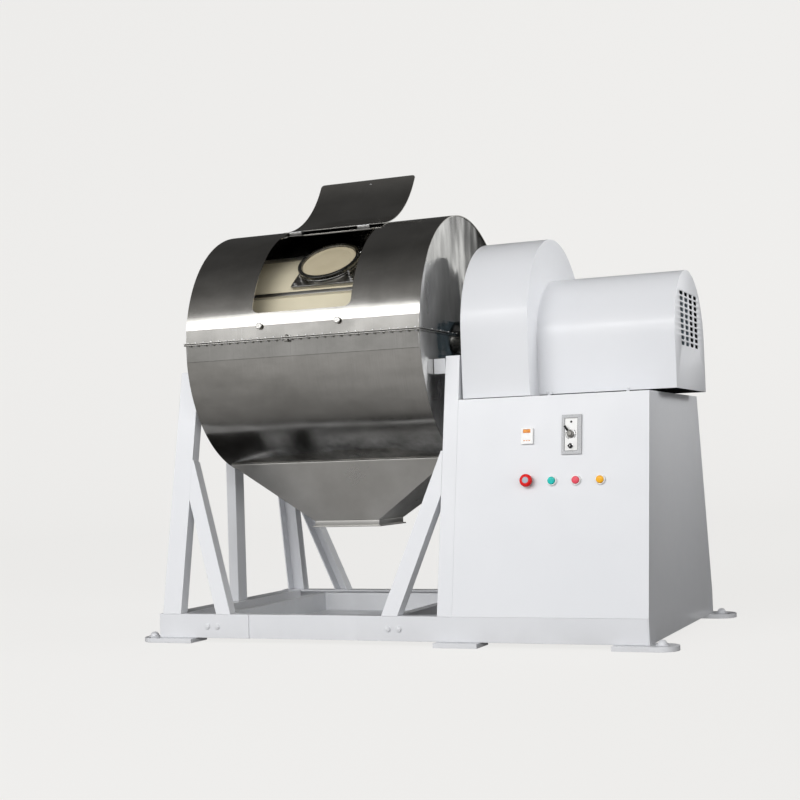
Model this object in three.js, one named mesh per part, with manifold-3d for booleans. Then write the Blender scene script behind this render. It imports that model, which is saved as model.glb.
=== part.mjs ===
// Batch ball mill: a lined drum turning inside a stainless casing, on a welded
// frame, with a direct-coupled geared motor on a cabinet pedestal. Millimetres,
// +X towards the motor, -Y the operator's side, +Z up, floor at z = 0.
import * as THREE from "three";
import { mergeVertices } from "three/addons/utils/BufferGeometryUtils.js";
import Module from "manifold-3d";

const wasm = await Module();
wasm.setup();

// ---- driving dimensions -------------------------------------------------
const GAP = 0.3; // clearance between pieces that touch

const BASE_LENGTH = 1600;
const BASE_HALF_WIDTH = 443.7;
const FOOT_THICKNESS = 14;
const RAIL_HEIGHT = 75;
const RAIL_DEPTH = 40;
const RAIL_WALL = 6;
const SPLICE_THICKNESS = 4;

const FOOT_HALF_WIDTH = 475; // outer edge of the foot plates
const FOOT_PLATE_WIDTH = 100;
const FOOT_OVERHANG_LEFT = 60;
const FOOT_OVERHANG_RIGHT = 80;
const ANCHOR_BOLT_OFFSET = 32; // from the end of the base to the bolt's axis

const AXIS_Z = 941; // height of the drum axis
const LEG_TOP = 871;
const LEG_DEPTH = 40;
const LEG_WALL = 5;

const PEDESTAL_LEFT = 1010;
const PEDESTAL_TOP = 733;
const PEDESTAL_TOP_HALF_WIDTH = 325.3;
const PEDESTAL_SHEET = 3;
const PEDESTAL_TOP_PLATE = 8;

const CASING_LEFT = 105;
const CASING_RIGHT = 924;
const CASING_RADIUS = 409;
const CASING_SHEET = 3;
const CASING_FLANGE = 16; // how far the split flange stands out
const CASING_FLANGE_THICKNESS = 4;
const CASING_SHAFT_HOLE = 48;
const CASING_SEGMENTS = 72;

const OPENING_LOW = 13.8; // degrees above the horizontal, seen along the axis
const OPENING_HIGH = 65;
const OPENING_LEFT = 344;
const OPENING_RIGHT = 691;
const OPENING_CORNER = 24;

const DOOR_LEFT = 337;
const DOOR_RIGHT = 697;
const DOOR_LOW = 12.9;
const DOOR_INNER_RADIUS = 412;
const DOOR_SHEET = 2.6;
const DOOR_CORNER = 12;
const HINGE_ANGLE = 67.5;
const HINGE_RADIUS = CASING_RADIUS + 7; // from the drum axis to the hinge pin
const HINGE_KNUCKLE = 5;
const HINGE_PIN = 2.4;
const HINGE_CENTRES = [389, 637];
const HINGE_LENGTH = 43;
const DOOR_OPEN = 196; // degrees back from closed

const CATCH_ANGLE = 8.3;
const CATCH_CENTRES = [376, 651];
const CATCH_RADIUS = 10.5;
const CATCH_OFFSET = 5;
const CATCH_STAND_OFF = 6.4;

const HOPPER_TOP_Z = 562;
const HOPPER_BOTTOM_Z = 367;
const HOPPER_TOP_HALF = [397.5, 154.5];
const HOPPER_BOTTOM_HALF = [117.5, 100];
const HOPPER_SHEET = 3;
const COLLAR_HEIGHT = 24;
const COLLAR_LIP = 7;

const DRUM_LEFT = 150;
const DRUM_RIGHT = 879;
const DRUM_RADIUS = 312;
const DRUM_WALL = 12;
const DRUM_END_PLATE = 12;
const DRUM_SEGMENTS = 60;
const DRUM_BARS = 8;
const DRUM_BAR_WIDTH = 14;
const DRUM_BAR_THICKNESS = 12;
const DRUM_BAR_FIRST = 31; // degrees above the horizontal
const SHAFT_RADIUS = 30;

const MANHOLE_X = 533;
const MANHOLE_ANGLE = 52;
const SADDLE_TOP = 315; // distances from the drum axis
const NECK_TOP = 329;
const LID_TOP = 343.5;
const RING_TOP = 349;
const NECK_RADII = [98, 80];
const RING_RADII = [106, 92.6];
const LID_RADIUS = 92;
const SADDLE_HALF = [115, 95];

const GUARD_LEFT = 1015;
const GUARD_RIGHT = 1231;
const GUARD_RADIUS = 302.4;
const GUARD_SHEET = 3;
const COVER_RIGHT = 1655;
const COVER_RADIUS = 208;
const COVER_CENTRE_Z = 902.5;
const GUARD_STAND_OFF = 3; // shadow gaps under the guard and the cover
const COVER_STAND_OFF = 8;

const BEARING_WIDTH = 54;
const BEARING_BORE = 39.5;
const BEARING_RING = 38;

const TRAY = { left: 232, right: 797, front: -394, rear: 294, top: 88, bottom: 24 };
const TRAY_SHEET = 3;
const TRAY_RIM = 33;

const CASING_MIDDLE = (CASING_LEFT + CASING_RIGHT) / 2;
const RAIL_BOTTOM = FOOT_THICKNESS + GAP;
const RAIL_TOP = FOOT_THICKNESS + RAIL_HEIGHT;
const RAIL_FACE = BASE_HALF_WIDTH - SPLICE_THICKNESS;

// ---- paints and metals --------------------------------------------------
const frameWhite = { color: 0xdadde1, roughness: 0.45, metalness: 0.0 };
const brushedSteel = { color: 0x8b8a87, roughness: 0.3, metalness: 1.0 };
const brightSteel = { color: 0xc4c6c8, roughness: 0.2, metalness: 1.0 };
const creamLining = { color: 0xc9c0a0, roughness: 0.5, metalness: 0.0 };
const castIron = { color: 0x4c5a62, roughness: 0.6, metalness: 0.3 };
const blackRubber = { color: 0x1b1b1c, roughness: 0.8, metalness: 0.0 };
const whitePlastic = { color: 0xf2f2ee, roughness: 0.4, metalness: 0.0 };
const greyPlastic = { color: 0xb4b6b8, roughness: 0.5, metalness: 0.0 };
const signalColours = { red: 0xd01a1a, green: 0x12c2b0, pink: 0xe6586c, amber: 0xffae14 };

// ---- helpers ------------------------------------------------------------
const mill = new THREE.Group();
const radians = THREE.MathUtils.degToRad;

function solid(geometry) {
  geometry.deleteAttribute("normal");
  geometry.deleteAttribute("uv");
  const welded = mergeVertices(geometry);
  return new wasm.Manifold(
    new wasm.Mesh({
      numProp: 3,
      vertProperties: new Float32Array(welded.attributes.position.array),
      triVerts: new Uint32Array(welded.index.array),
    }),
  );
}

function piece(name, body, finish, parent = mill) {
  const mesh = body.getMesh();
  const geometry = new THREE.BufferGeometry();
  geometry.setAttribute("position", new THREE.BufferAttribute(mesh.vertProperties, 3));
  geometry.setIndex(new THREE.BufferAttribute(mesh.triVerts, 1));
  geometry.computeVertexNormals();
  const made = new THREE.Mesh(geometry, new THREE.MeshStandardMaterial(finish));
  made.name = name;
  parent.add(made);
  return made;
}

function group(parent = mill) {
  const made = new THREE.Group();
  parent.add(made);
  return made;
}

const join = (first, ...others) => others.reduce((sum, next) => sum.add(next), first);
const cut = (first, ...others) => others.reduce((rest, next) => rest.subtract(next), first);

function box([x0, x1], [y0, y1], [z0, z1]) {
  const geometry = new THREE.BoxGeometry(x1 - x0, y1 - y0, z1 - z0);
  return solid(geometry.translate((x0 + x1) / 2, (y0 + y1) / 2, (z0 + z1) / 2));
}

function cylinderX(radius, [x0, x1], segments = 32, y = 0, z = 0) {
  const geometry = new THREE.CylinderGeometry(radius, radius, x1 - x0, segments);
  return solid(geometry.rotateZ(Math.PI / 2).translate((x0 + x1) / 2, y, z));
}

function cylinderZ(radius, [z0, z1], segments = 32, x = 0, y = 0, topRadius = radius) {
  const geometry = new THREE.CylinderGeometry(topRadius, radius, z1 - z0, segments);
  return solid(geometry.rotateX(Math.PI / 2).translate(x, y, (z0 + z1) / 2));
}

function outline(points) {
  return new THREE.Shape(points.map(([x, y]) => new THREE.Vector2(x, y)));
}

// A prism whose section is given in (y, z), running along X.
function prismX(points, [x0, x1]) {
  const geometry = new THREE.ExtrudeGeometry(outline(points), {
    depth: x1 - x0,
    bevelEnabled: false,
  });
  const turn = new THREE.Matrix4().makeBasis(
    new THREE.Vector3(0, 1, 0),
    new THREE.Vector3(0, 0, 1),
    new THREE.Vector3(1, 0, 0),
  );
  return solid(geometry.applyMatrix4(turn).translate(x0, 0, 0));
}

// A prism whose section is given in (x, z), running along Y.
function prismY(points, [y0, y1]) {
  const geometry = new THREE.ExtrudeGeometry(outline(points), {
    depth: y1 - y0,
    bevelEnabled: false,
  });
  return solid(geometry.rotateX(Math.PI / 2).translate(0, y1, 0));
}

// A prism whose section is given in (x, y), running along Z.
function prismZ(points, [z0, z1]) {
  const geometry = new THREE.ExtrudeGeometry(outline(points), {
    depth: z1 - z0,
    bevelEnabled: false,
  });
  return solid(geometry.translate(0, 0, z0));
}

function arc(cx, cy, radius, from, to, steps) {
  const points = [];
  for (let i = 0; i <= steps; i++) {
    const angle = radians(from + ((to - from) * i) / steps);
    points.push([cx + radius * Math.cos(angle), cy + radius * Math.sin(angle)]);
  }
  return points;
}

function roundedRectangle([x0, x1], [y0, y1], radius, steps = 5) {
  return [
    ...arc(x1 - radius, y0 + radius, radius, -90, 0, steps),
    ...arc(x1 - radius, y1 - radius, radius, 0, 90, steps),
    ...arc(x0 + radius, y1 - radius, radius, 90, 180, steps),
    ...arc(x0 + radius, y0 + radius, radius, 180, 270, steps),
  ];
}

// ---- the leaning planes of the frame ------------------------------------
// From the rails up, front and rear lean inwards alike. In a leaning plane x runs
// along X, y up the slope from the top of the rails and z square to the slope.
const LEAN = Math.atan2(PEDESTAL_TOP - RAIL_TOP, BASE_HALF_WIDTH - PEDESTAL_TOP_HALF_WIDTH);
const upSlope = (z) => (z - RAIL_TOP) / Math.sin(LEAN);
const halfWidthAt = (z) => BASE_HALF_WIDTH - (z - RAIL_TOP) / Math.tan(LEAN);

function leaningSlab(points, [from, to], side) {
  const flat = outline(points.map(([x, z]) => [x, upSlope(z)]));
  const geometry = new THREE.ExtrudeGeometry(flat, { depth: to - from, bevelEnabled: false });
  const start = side < 0 ? -to : from;
  const turn = new THREE.Matrix4().makeBasis(
    new THREE.Vector3(1, 0, 0),
    new THREE.Vector3(0, -side * Math.cos(LEAN), Math.sin(LEAN)),
    new THREE.Vector3(0, -Math.sin(LEAN), -side * Math.cos(LEAN)),
  );
  geometry.translate(0, 0, start).applyMatrix4(turn);
  return solid(geometry.translate(0, side * BASE_HALF_WIDTH, RAIL_TOP));
}

const slice = (z0, z1) => box([-200, 2000], [-700, 700], [z0, z1]);

// A channel on the leaning plane: web outwards, flanges inwards. The two edges
// are given by their x at the low and the high end.
function leaningChannel(low, high, side) {
  const [z0, x0, x1] = low;
  const [z1, x2, x3] = high;
  const reach = 60; // past both ends, before trimming
  const slide = (xa, xb, z) => xa + ((xb - xa) * (z - z0)) / (z1 - z0);
  const edge = (inset) => [
    [slide(x0, x2, z0 - reach) + inset, z0 - reach],
    [slide(x1, x3, z0 - reach) - inset, z0 - reach],
    [slide(x1, x3, z1 + reach) - inset, z1 + reach],
    [slide(x0, x2, z1 + reach) + inset, z1 + reach],
  ];
  const whole = leaningSlab(edge(0), [0, LEG_DEPTH], side);
  return cut(whole, leaningSlab(edge(LEG_WALL), [LEG_WALL, LEG_DEPTH + 9], side));
}

const SIDES = [
  ["front", -1],
  ["rear", 1],
];

// ---- base frame ---------------------------------------------------------
const SPLICE_PLATES = [
  [0, 325, [177, 213]],
  [702, 865, [802, 838]],
];

function baseRail(side) {
  const outer = side * RAIL_FACE;
  const inner = side * (RAIL_FACE - RAIL_DEPTH);
  const hollow = side * (RAIL_FACE - RAIL_WALL);
  const span = (a, b) => [Math.min(a, b), Math.max(a, b)];
  const z = [RAIL_BOTTOM, RAIL_TOP];
  const length = [0, BASE_LENGTH - PEDESTAL_SHEET - GAP];
  let rail = box(length, span(outer, inner), z);
  rail = cut(rail, box([-9, BASE_LENGTH], span(hollow, inner - side * 9), [z[0] + 6, z[1] - 6]));
  for (const [x0, x1, bolts] of SPLICE_PLATES) {
    rail = rail.add(box([x0, x1], span(side * BASE_HALF_WIDTH, outer - side), z));
    for (const x of bolts) rail = rail.add(boltHead(x, side));
  }
  const tail = box([865, length[1]], span(side * BASE_HALF_WIDTH, outer - side), z);
  return rail.add(tail);
}

function boltHead(x, side) {
  const height = 5;
  const radii = side < 0 ? [8, 5] : [5, 8];
  const geometry = new THREE.CylinderGeometry(radii[1], radii[0], height + 1, 12);
  const y = side * (BASE_HALF_WIDTH + height / 2 - 0.5);
  return solid(geometry.translate(x, y, 50));
}

for (const [word, side] of SIDES) piece(word + "_base_rail", baseRail(side), frameWhite);

function endRail([x0, x1]) {
  const half = RAIL_FACE - RAIL_DEPTH - GAP;
  const whole = box([x0, x1], [-half, half], [RAIL_BOTTOM, RAIL_TOP]);
  return cut(whole, box([x0 + 5, x1 - 5], [-half - 9, half + 9], [0, RAIL_TOP - 5]));
}
piece("left_end_rail", endRail([12, 78]), frameWhite);

function footPlate([x0, x1], side, roundEnd) {
  const y0 = side * FOOT_HALF_WIDTH;
  const y1 = side * (FOOT_HALF_WIDTH - FOOT_PLATE_WIDTH);
  const ys = [Math.min(y0, y1), Math.max(y0, y1)];
  const radius = FOOT_PLATE_WIDTH / 2;
  const middle = (y0 + y1) / 2;
  const z = [0, FOOT_THICKNESS];
  if (roundEnd === 0) return box([x0, x1], ys, z);
  const tip = roundEnd < 0 ? x0 + radius : x1 - radius;
  const straight = roundEnd < 0 ? [tip, x1] : [x0, tip];
  const boltX = roundEnd < 0 ? -ANCHOR_BOLT_OFFSET : BASE_LENGTH + ANCHOR_BOLT_OFFSET;
  const bolt = cylinderZ(13, [FOOT_THICKNESS - 1, FOOT_THICKNESS + 14], 16, boltX, middle, 8);
  return join(box(straight, ys, z), cylinderZ(radius, z, 32, tip, middle), bolt);
}
for (const [word, side] of SIDES) {
  const right = [1497, BASE_LENGTH + FOOT_OVERHANG_RIGHT];
  piece("foot_left_" + word, footPlate([-FOOT_OVERHANG_LEFT, 133], side, -1), frameWhite);
  piece("foot_middle_" + word, footPlate([958, 1096], side, 0), frameWhite);
  piece("foot_right_" + word, footPlate(right, side, 1), frameWhite);
}

// ---- the two trestles ---------------------------------------------------
// Each entry: height, then the x of both edges there.
const LEG_LEFT = [
  [RAIL_TOP, 13, 79.6],
  [LEG_TOP, 19.2, 85.4],
];
const LEG_RIGHT = [
  [RAIL_TOP, 962, PEDESTAL_LEFT - GAP],
  [LEG_TOP, 963.7, PEDESTAL_LEFT - GAP],
];
const BRACE_LEFT = [
  [RAIL_TOP, 209.5, 260.4],
  [520, 58.1, 108.6],
];
const BRACE_RIGHT = [
  [RAIL_TOP, 781, 833.8],
  [520, 935.9, 988.8],
];

const REAR_SHIFT = 10; // the rear left leg and brace stand this much nearer the motor
const shiftOf = (side) => (side > 0 ? REAR_SHIFT : 0);
const shifted = (channel, dx) => channel.map(([z, x0, x1]) => [z, x0 + dx, x1 + dx]);

const legRange = slice(RAIL_TOP + GAP, LEG_TOP);

// The space beside a leg's edge: edge 1 is its left edge, 2 its right edge.
const legEdge = ([low, high], edge, z) =>
  low[edge] + ((high[edge] - low[edge]) * (z - low[0])) / (high[0] - low[0]);

function besideLeg(leg, edge, side, reach) {
  const x = (z) => legEdge(leg, edge, z) + Math.sign(reach) * GAP;
  const points = [
    [x(0), 0],
    [x(0) + reach, 0],
    [x(1000) + reach, 1000],
    [x(1000), 1000],
  ];
  return leaningSlab(reach > 0 ? points : points.reverse(), [-9, 99], side);
}

for (const [word, side] of SIDES) {
  const legLeft = shifted(LEG_LEFT, shiftOf(side));
  const left = leaningChannel(...legLeft, side).intersect(legRange);
  const right = leaningChannel(...LEG_RIGHT, side).intersect(legRange);
  piece("leg_left_" + word, left, frameWhite);
  piece("leg_right_" + word, right, frameWhite);
  const leftBrace = leaningChannel(...shifted(BRACE_LEFT, shiftOf(side)), side)
    .intersect(legRange)
    .intersect(besideLeg(legLeft, 2, side, 400));
  const rightBrace = leaningChannel(...BRACE_RIGHT, side)
    .intersect(legRange)
    .intersect(besideLeg(LEG_RIGHT, 1, side, -400));
  piece("brace_left_" + word, leftBrace, frameWhite);
  piece("brace_right_" + word, rightBrace, frameWhite);
}

const BEAM_HEIGHT = 60;
const BEAM_LEFT_X = [22, 82];
const BEAM_RIGHT_X = [966, 1009];
function bearingBeam([x0, x1]) {
  const inset = LEG_DEPTH / Math.sin(LEAN) + GAP;
  const low = halfWidthAt(LEG_TOP - BEAM_HEIGHT) - inset;
  const high = halfWidthAt(LEG_TOP) - inset;
  const section = [
    [-low, LEG_TOP - BEAM_HEIGHT],
    [low, LEG_TOP - BEAM_HEIGHT],
    [high, LEG_TOP],
    [-high, LEG_TOP],
  ];
  const hollow = box([x0 + 5, x1 - 5], [-999, 999], [0, LEG_TOP - 6]);
  return cut(prismX(section, [x0, x1]), hollow);
}
piece("left_bearing_beam", bearingBeam(BEAM_LEFT_X), frameWhite);
piece("right_bearing_beam", bearingBeam(BEAM_RIGHT_X), frameWhite);

const POST_Z = [RAIL_TOP + GAP, LEG_TOP - BEAM_HEIGHT - GAP];
const post = cut(
  box([22, 57], [-30, 30], POST_Z),
  box([0, 52], [-25, 25], [POST_Z[0] - 9, POST_Z[1] + 9]),
);
piece("left_centre_post", post, frameWhite);

// ---- drip tray between the trestles -------------------------------------
const trayInside = box(
  [TRAY.left, TRAY.right],
  [TRAY.front, TRAY.rear],
  [TRAY.bottom + TRAY_SHEET, TRAY.top + 9],
);
const trayWalls = box(
  [TRAY.left - TRAY_SHEET, TRAY.right + TRAY_SHEET],
  [TRAY.front - TRAY_SHEET, TRAY.rear + TRAY_SHEET],
  [TRAY.bottom, TRAY.top],
);
const trayRim = box(
  [TRAY.left - TRAY_RIM, TRAY.right + TRAY_RIM],
  [TRAY.front - TRAY_SHEET, TRAY.rear + TRAY_SHEET],
  [TRAY.top - 2.5, TRAY.top],
);
piece("drip_tray", cut(trayWalls.add(trayRim), trayInside), brightSteel);

const RACK_Z = [RAIL_BOTTOM + 1, TRAY.bottom - GAP];
const rackHalf = RAIL_FACE - RAIL_WALL - GAP;
const rack = join(
  box([290, 330], [-rackHalf, rackHalf], RACK_Z),
  box([700, 740], [-rackHalf, rackHalf], RACK_Z),
  box([325, 705], [-20, 20], RACK_Z),
);
const rackNotch = (side) =>
  box([0, 2000], [side * 500 - 100.6, side * 500 + 100.6], [0, RAIL_BOTTOM + RAIL_WALL + GAP]);
piece("tray_rack", cut(rack, rackNotch(-1), rackNotch(1)), frameWhite);

// ---- pedestal cabinet ---------------------------------------------------
// Upright beside the rails, leaning from their tops up; open underneath.
function pedestalSection(inset, bottom, top) {
  const half = (z) => halfWidthAt(Math.max(z, RAIL_TOP)) - inset;
  const heights = [bottom, Math.max(bottom, RAIL_TOP), top];
  return [
    ...heights.map((z) => [half(z), z]),
    ...heights.reverse().map((z) => [-half(z), z]),
  ];
}
const sheet = PEDESTAL_SHEET;
const roomTop = PEDESTAL_TOP - PEDESTAL_TOP_PLATE;
const pedestalCabinet = cut(
  prismX(pedestalSection(0, RAIL_TOP + GAP, PEDESTAL_TOP), [PEDESTAL_LEFT, BASE_LENGTH]),
  prismX(pedestalSection(sheet, RAIL_TOP - 9, roomTop), [
    PEDESTAL_LEFT + sheet,
    BASE_LENGTH - sheet,
  ]),
);
const sidePanel = prismX(pedestalSection(0, RAIL_BOTTOM, roomTop), [
  BASE_LENGTH - sheet,
  BASE_LENGTH,
]);
piece("pedestal_cabinet", pedestalCabinet.add(sidePanel), frameWhite);

// ---- casing -------------------------------------------------------------
// Built about the drum axis: this group's origin is on the axis.
const axis = group();
axis.position.z = AXIS_Z;

const SPLIT = 10; // the casing parts just above the axis
const casingEnds = [CASING_LEFT, CASING_RIGHT];
const casingRoom = [CASING_LEFT + CASING_SHEET, CASING_RIGHT - CASING_SHEET];

function casingHalf([z0, z1], [flangeLow, flangeHigh]) {
  const half = box([0, 1200], [-600, 600], [z0, z1]);
  const drumShape = cylinderX(CASING_RADIUS, casingEnds, CASING_SEGMENTS).intersect(half);
  const reach = CASING_RADIUS + CASING_FLANGE;
  const ends = [CASING_LEFT - CASING_FLANGE / 2, CASING_RIGHT + CASING_FLANGE / 2];
  const flange = box(ends, [-reach, reach], [flangeLow, flangeHigh]);
  const room = cylinderX(CASING_RADIUS - CASING_SHEET, casingRoom, CASING_SEGMENTS);
  const shaftHole = cylinderX(CASING_SHAFT_HOLE, [0, 1200], 32);
  return cut(drumShape.add(flange), room, shaftHole);
}

const lowerFlange = [SPLIT - GAP - CASING_FLANGE_THICKNESS, SPLIT - GAP];
const upperFlange = [SPLIT, SPLIT + CASING_FLANGE_THICKNESS];
const hopperMouth = box(
  [CASING_MIDDLE - HOPPER_TOP_HALF[0] + 6, CASING_MIDDLE + HOPPER_TOP_HALF[0] - 6],
  [-HOPPER_TOP_HALF[1] + 6, HOPPER_TOP_HALF[1] - 6],
  [-500, -300],
);
const casingLower = cut(casingHalf([-500, SPLIT - GAP], lowerFlange), hopperMouth);
piece("casing_lower", casingLower, brushedSteel, axis);

// A prism along the outward direction at the given angle above the horizontal,
// whose section is a rounded rectangle of the arc's chord by the x range.
function radialWindow([x0, x1], [low, high], radius, corner, [from, to]) {
  const middle = (low + high) / 2;
  const half = radius * Math.sin(radians((high - low) / 2));
  const section = roundedRectangle([x0, x1], [-half, half], corner);
  const geometry = new THREE.ExtrudeGeometry(outline(section), {
    depth: to - from,
    bevelEnabled: false,
  });
  return solid(geometry.translate(0, 0, from).rotateX(radians(90 - middle)));
}

const opening = radialWindow(
  [OPENING_LEFT, OPENING_RIGHT],
  [OPENING_LOW, OPENING_HIGH],
  CASING_RADIUS,
  OPENING_CORNER,
  [300, 500],
);
const casingUpper = cut(casingHalf([SPLIT, 500], upperFlange), opening);
piece("casing_upper", casingUpper, brushedSteel, axis);

// ---- access door, thrown back on the casing -----------------------------
const hingePoint = new THREE.Vector3(
  0,
  -HINGE_RADIUS * Math.cos(radians(HINGE_ANGLE)),
  HINGE_RADIUS * Math.sin(radians(HINGE_ANGLE)),
);
const knuckle = (radius, range) => cylinderX(radius, range, 16, hingePoint.y, hingePoint.z);
const degreesFor = (length) => (length / CASING_RADIUS) * (180 / Math.PI);

function doorPanel() {
  const outer = DOOR_INNER_RADIUS + DOOR_SHEET;
  const high = HINGE_ANGLE - degreesFor(HINGE_KNUCKLE + 1.6);
  const window = radialWindow(
    [DOOR_LEFT, DOOR_RIGHT],
    [DOOR_LOW, high],
    (DOOR_INNER_RADIUS + outer) / 2,
    DOOR_CORNER,
    [300, 500],
  );
  const range = [0, 1200];
  const skin = cut(
    cylinderX(outer, range, CASING_SEGMENTS),
    cylinderX(DOOR_INNER_RADIUS, [-9, 1209], CASING_SEGMENTS),
  );
  return skin.intersect(window);
}

// The door's own knuckles, at both ends of each hinge, on tabs of the sheet.
const outerLength = (centre, side, start, end) => {
  const ends = [centre + side * start, centre + side * end];
  return [Math.min(...ends), Math.max(...ends)];
};

function doorKnuckles(centre) {
  const half = HINGE_LENGTH / 2;
  const pinRoom = knuckle(HINGE_PIN + 0.5, [0, 1200]);
  const parts = [];
  for (const side of [-1, 1]) {
    const range = outerLength(centre, side, half - 14, half);
    const tab = new THREE.BoxGeometry(14, 13, DOOR_SHEET);
    tab.translate((range[0] + range[1]) / 2, -6.5, DOOR_INNER_RADIUS + DOOR_SHEET / 2);
    tab.rotateX(radians(90 - HINGE_ANGLE));
    parts.push(cut(solid(tab), pinRoom));
    parts.push(cut(knuckle(HINGE_KNUCKLE, range), pinRoom));
  }
  return parts;
}

const doorHinge = group(axis);
doorHinge.position.copy(hingePoint);
doorHinge.rotation.x = -radians(DOOR_OPEN);
const door = join(doorPanel(), ...HINGE_CENTRES.flatMap(doorKnuckles));
piece("access_door", door, brushedSteel, doorHinge).position.copy(hingePoint).negate();

function fixedHinge(centre) {
  const half = HINGE_LENGTH / 2;
  const leaf = new THREE.BoxGeometry(HINGE_LENGTH, 26, 1.8);
  leaf.translate(centre, 9, CASING_RADIUS + 1.9).rotateX(radians(90 - HINGE_ANGLE));
  const clearance = [-1, 1].map((side) =>
    knuckle(HINGE_KNUCKLE + 0.8, outerLength(centre, side, half - 14.6, half + 1)),
  );
  const bare = cut(solid(leaf), ...clearance, cylinderX(CASING_RADIUS + GAP, [0, 1200], 144));
  const barrel = knuckle(HINGE_KNUCKLE, [centre - half + 14.6, centre + half - 14.6]);
  return join(bare, barrel, knuckle(HINGE_PIN, [centre - half, centre + half]));
}
piece("door_hinge_left", fixedHinge(HINGE_CENTRES[0]), brightSteel, axis);
piece("door_hinge_right", fixedHinge(HINGE_CENTRES[1]), brightSteel, axis);

// Eccentric turn catches: the disc hangs below its pivot and is turned up over
// the door's lower edge.
const CATCH_WORDS = ["left", "right"];
CATCH_CENTRES.forEach((x, i) => {
  const spot = group(axis);
  spot.rotation.x = radians(90 - CATCH_ANGLE);
  const face = CASING_RADIUS + CATCH_STAND_OFF;
  const stem = cylinderZ(4, [CASING_RADIUS + GAP, face + 1], 12, x, 0);
  const disc = cylinderZ(CATCH_RADIUS, [face, face + 4], 24, x, -CATCH_OFFSET);
  piece("door_catch_" + CATCH_WORDS[i], stem.add(disc), brightSteel, spot);
});

// ---- discharge hopper with its outlet collar ----------------------------
function taperedBlock(inset, zLow, zHigh) {
  const rise = HOPPER_TOP_Z - HOPPER_BOTTOM_Z;
  const at = (z, i) => {
    const share = (z - HOPPER_BOTTOM_Z) / rise;
    return HOPPER_BOTTOM_HALF[i] + (HOPPER_TOP_HALF[i] - HOPPER_BOTTOM_HALF[i]) * share - inset[i];
  };
  const flank = (i) => [
    [-at(zLow, i), zLow],
    [at(zLow, i), zLow],
    [at(zHigh, i), zHigh],
    [-at(zHigh, i), zHigh],
  ];
  return prismY(flank(0), [-300, 300]).intersect(prismX(flank(1), [-600, 600]));
}
const collarBottom = HOPPER_BOTTOM_Z - COLLAR_HEIGHT;
const rectangle = (half, grow, z) =>
  box([-half[0] - grow, half[0] + grow], [-half[1] - grow, half[1] + grow], z);
const hopperOutside = join(
  taperedBlock([0, 0], HOPPER_BOTTOM_Z, HOPPER_TOP_Z),
  rectangle(HOPPER_BOTTOM_HALF, 0, [collarBottom, HOPPER_BOTTOM_Z + 1]),
  rectangle(HOPPER_BOTTOM_HALF, COLLAR_LIP, [collarBottom, collarBottom + 4]),
);
const hopperInside = join(
  taperedBlock([HOPPER_SHEET * 1.75, HOPPER_SHEET * 1.05], HOPPER_BOTTOM_Z - 4, HOPPER_TOP_Z + 60),
  rectangle(HOPPER_BOTTOM_HALF, -HOPPER_SHEET * 1.75, [collarBottom - 9, HOPPER_BOTTOM_Z + 1]),
);
const casingBelly = cylinderX(CASING_RADIUS + GAP, [-600, 600], CASING_SEGMENTS, 0, AXIS_Z);
const hopperPlace = group();
hopperPlace.position.x = CASING_MIDDLE;
piece("discharge_hopper", cut(hopperOutside, hopperInside, casingBelly), brushedSteel, hopperPlace);

// ---- brackets from the leg tops to the casing ends ----------------------
const BRACKET_Z = [817, 864];
const BRACKET_Y = [272, 302];
function bracket([x0, x1], side, plateFirst) {
  const ys = side < 0 ? [-BRACKET_Y[1], -BRACKET_Y[0]] : BRACKET_Y;
  const arm = side < 0 ? [ys[0], ys[0] + 8] : [ys[1] - 8, ys[1]];
  const plate = plateFirst ? [x0, x0 + 6] : [x1 - 6, x1];
  return join(box([x0, x1], arm, BRACKET_Z), box(plate, ys, BRACKET_Z));
}
for (const [word, side] of SIDES) {
  const innerLeft = legEdge(LEG_LEFT, 2, LEG_TOP) + shiftOf(side) + GAP;
  const innerRight = legEdge(LEG_RIGHT, 1, RAIL_TOP) - GAP;
  const left = bracket([innerLeft, CASING_LEFT - GAP], side, false);
  const right = bracket([CASING_RIGHT + GAP, innerRight], side, true);
  piece("casing_bracket_left_" + word, left, frameWhite);
  piece("casing_bracket_right_" + word, right, frameWhite);
}

// ---- drum ---------------------------------------------------------------
function drumShell() {
  const length = [DRUM_LEFT, DRUM_RIGHT];
  const tube = cut(
    cylinderX(DRUM_RADIUS, length, DRUM_SEGMENTS),
    cylinderX(DRUM_RADIUS - DRUM_WALL, [0, 1200], DRUM_SEGMENTS),
  );
  const bars = [];
  for (let i = 0; i < DRUM_BARS; i++) {
    const angle = DRUM_BAR_FIRST + (360 / DRUM_BARS) * i;
    const geometry = new THREE.BoxGeometry(
      length[1] - length[0],
      DRUM_BAR_WIDTH,
      DRUM_BAR_THICKNESS * 2,
    );
    geometry.translate((length[0] + length[1]) / 2, 0, DRUM_RADIUS);
    bars.push(solid(geometry.rotateX(radians(90 - angle))));
  }
  const hole = new THREE.CylinderGeometry(NECK_RADII[1], NECK_RADII[1], 120, 32);
  hole.rotateX(Math.PI / 2).translate(MANHOLE_X, 0, DRUM_RADIUS);
  return cut(join(tube, ...bars), solid(hole.rotateX(radians(90 - MANHOLE_ANGLE))));
}
piece("drum_shell", drumShell(), creamLining, axis);

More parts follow.
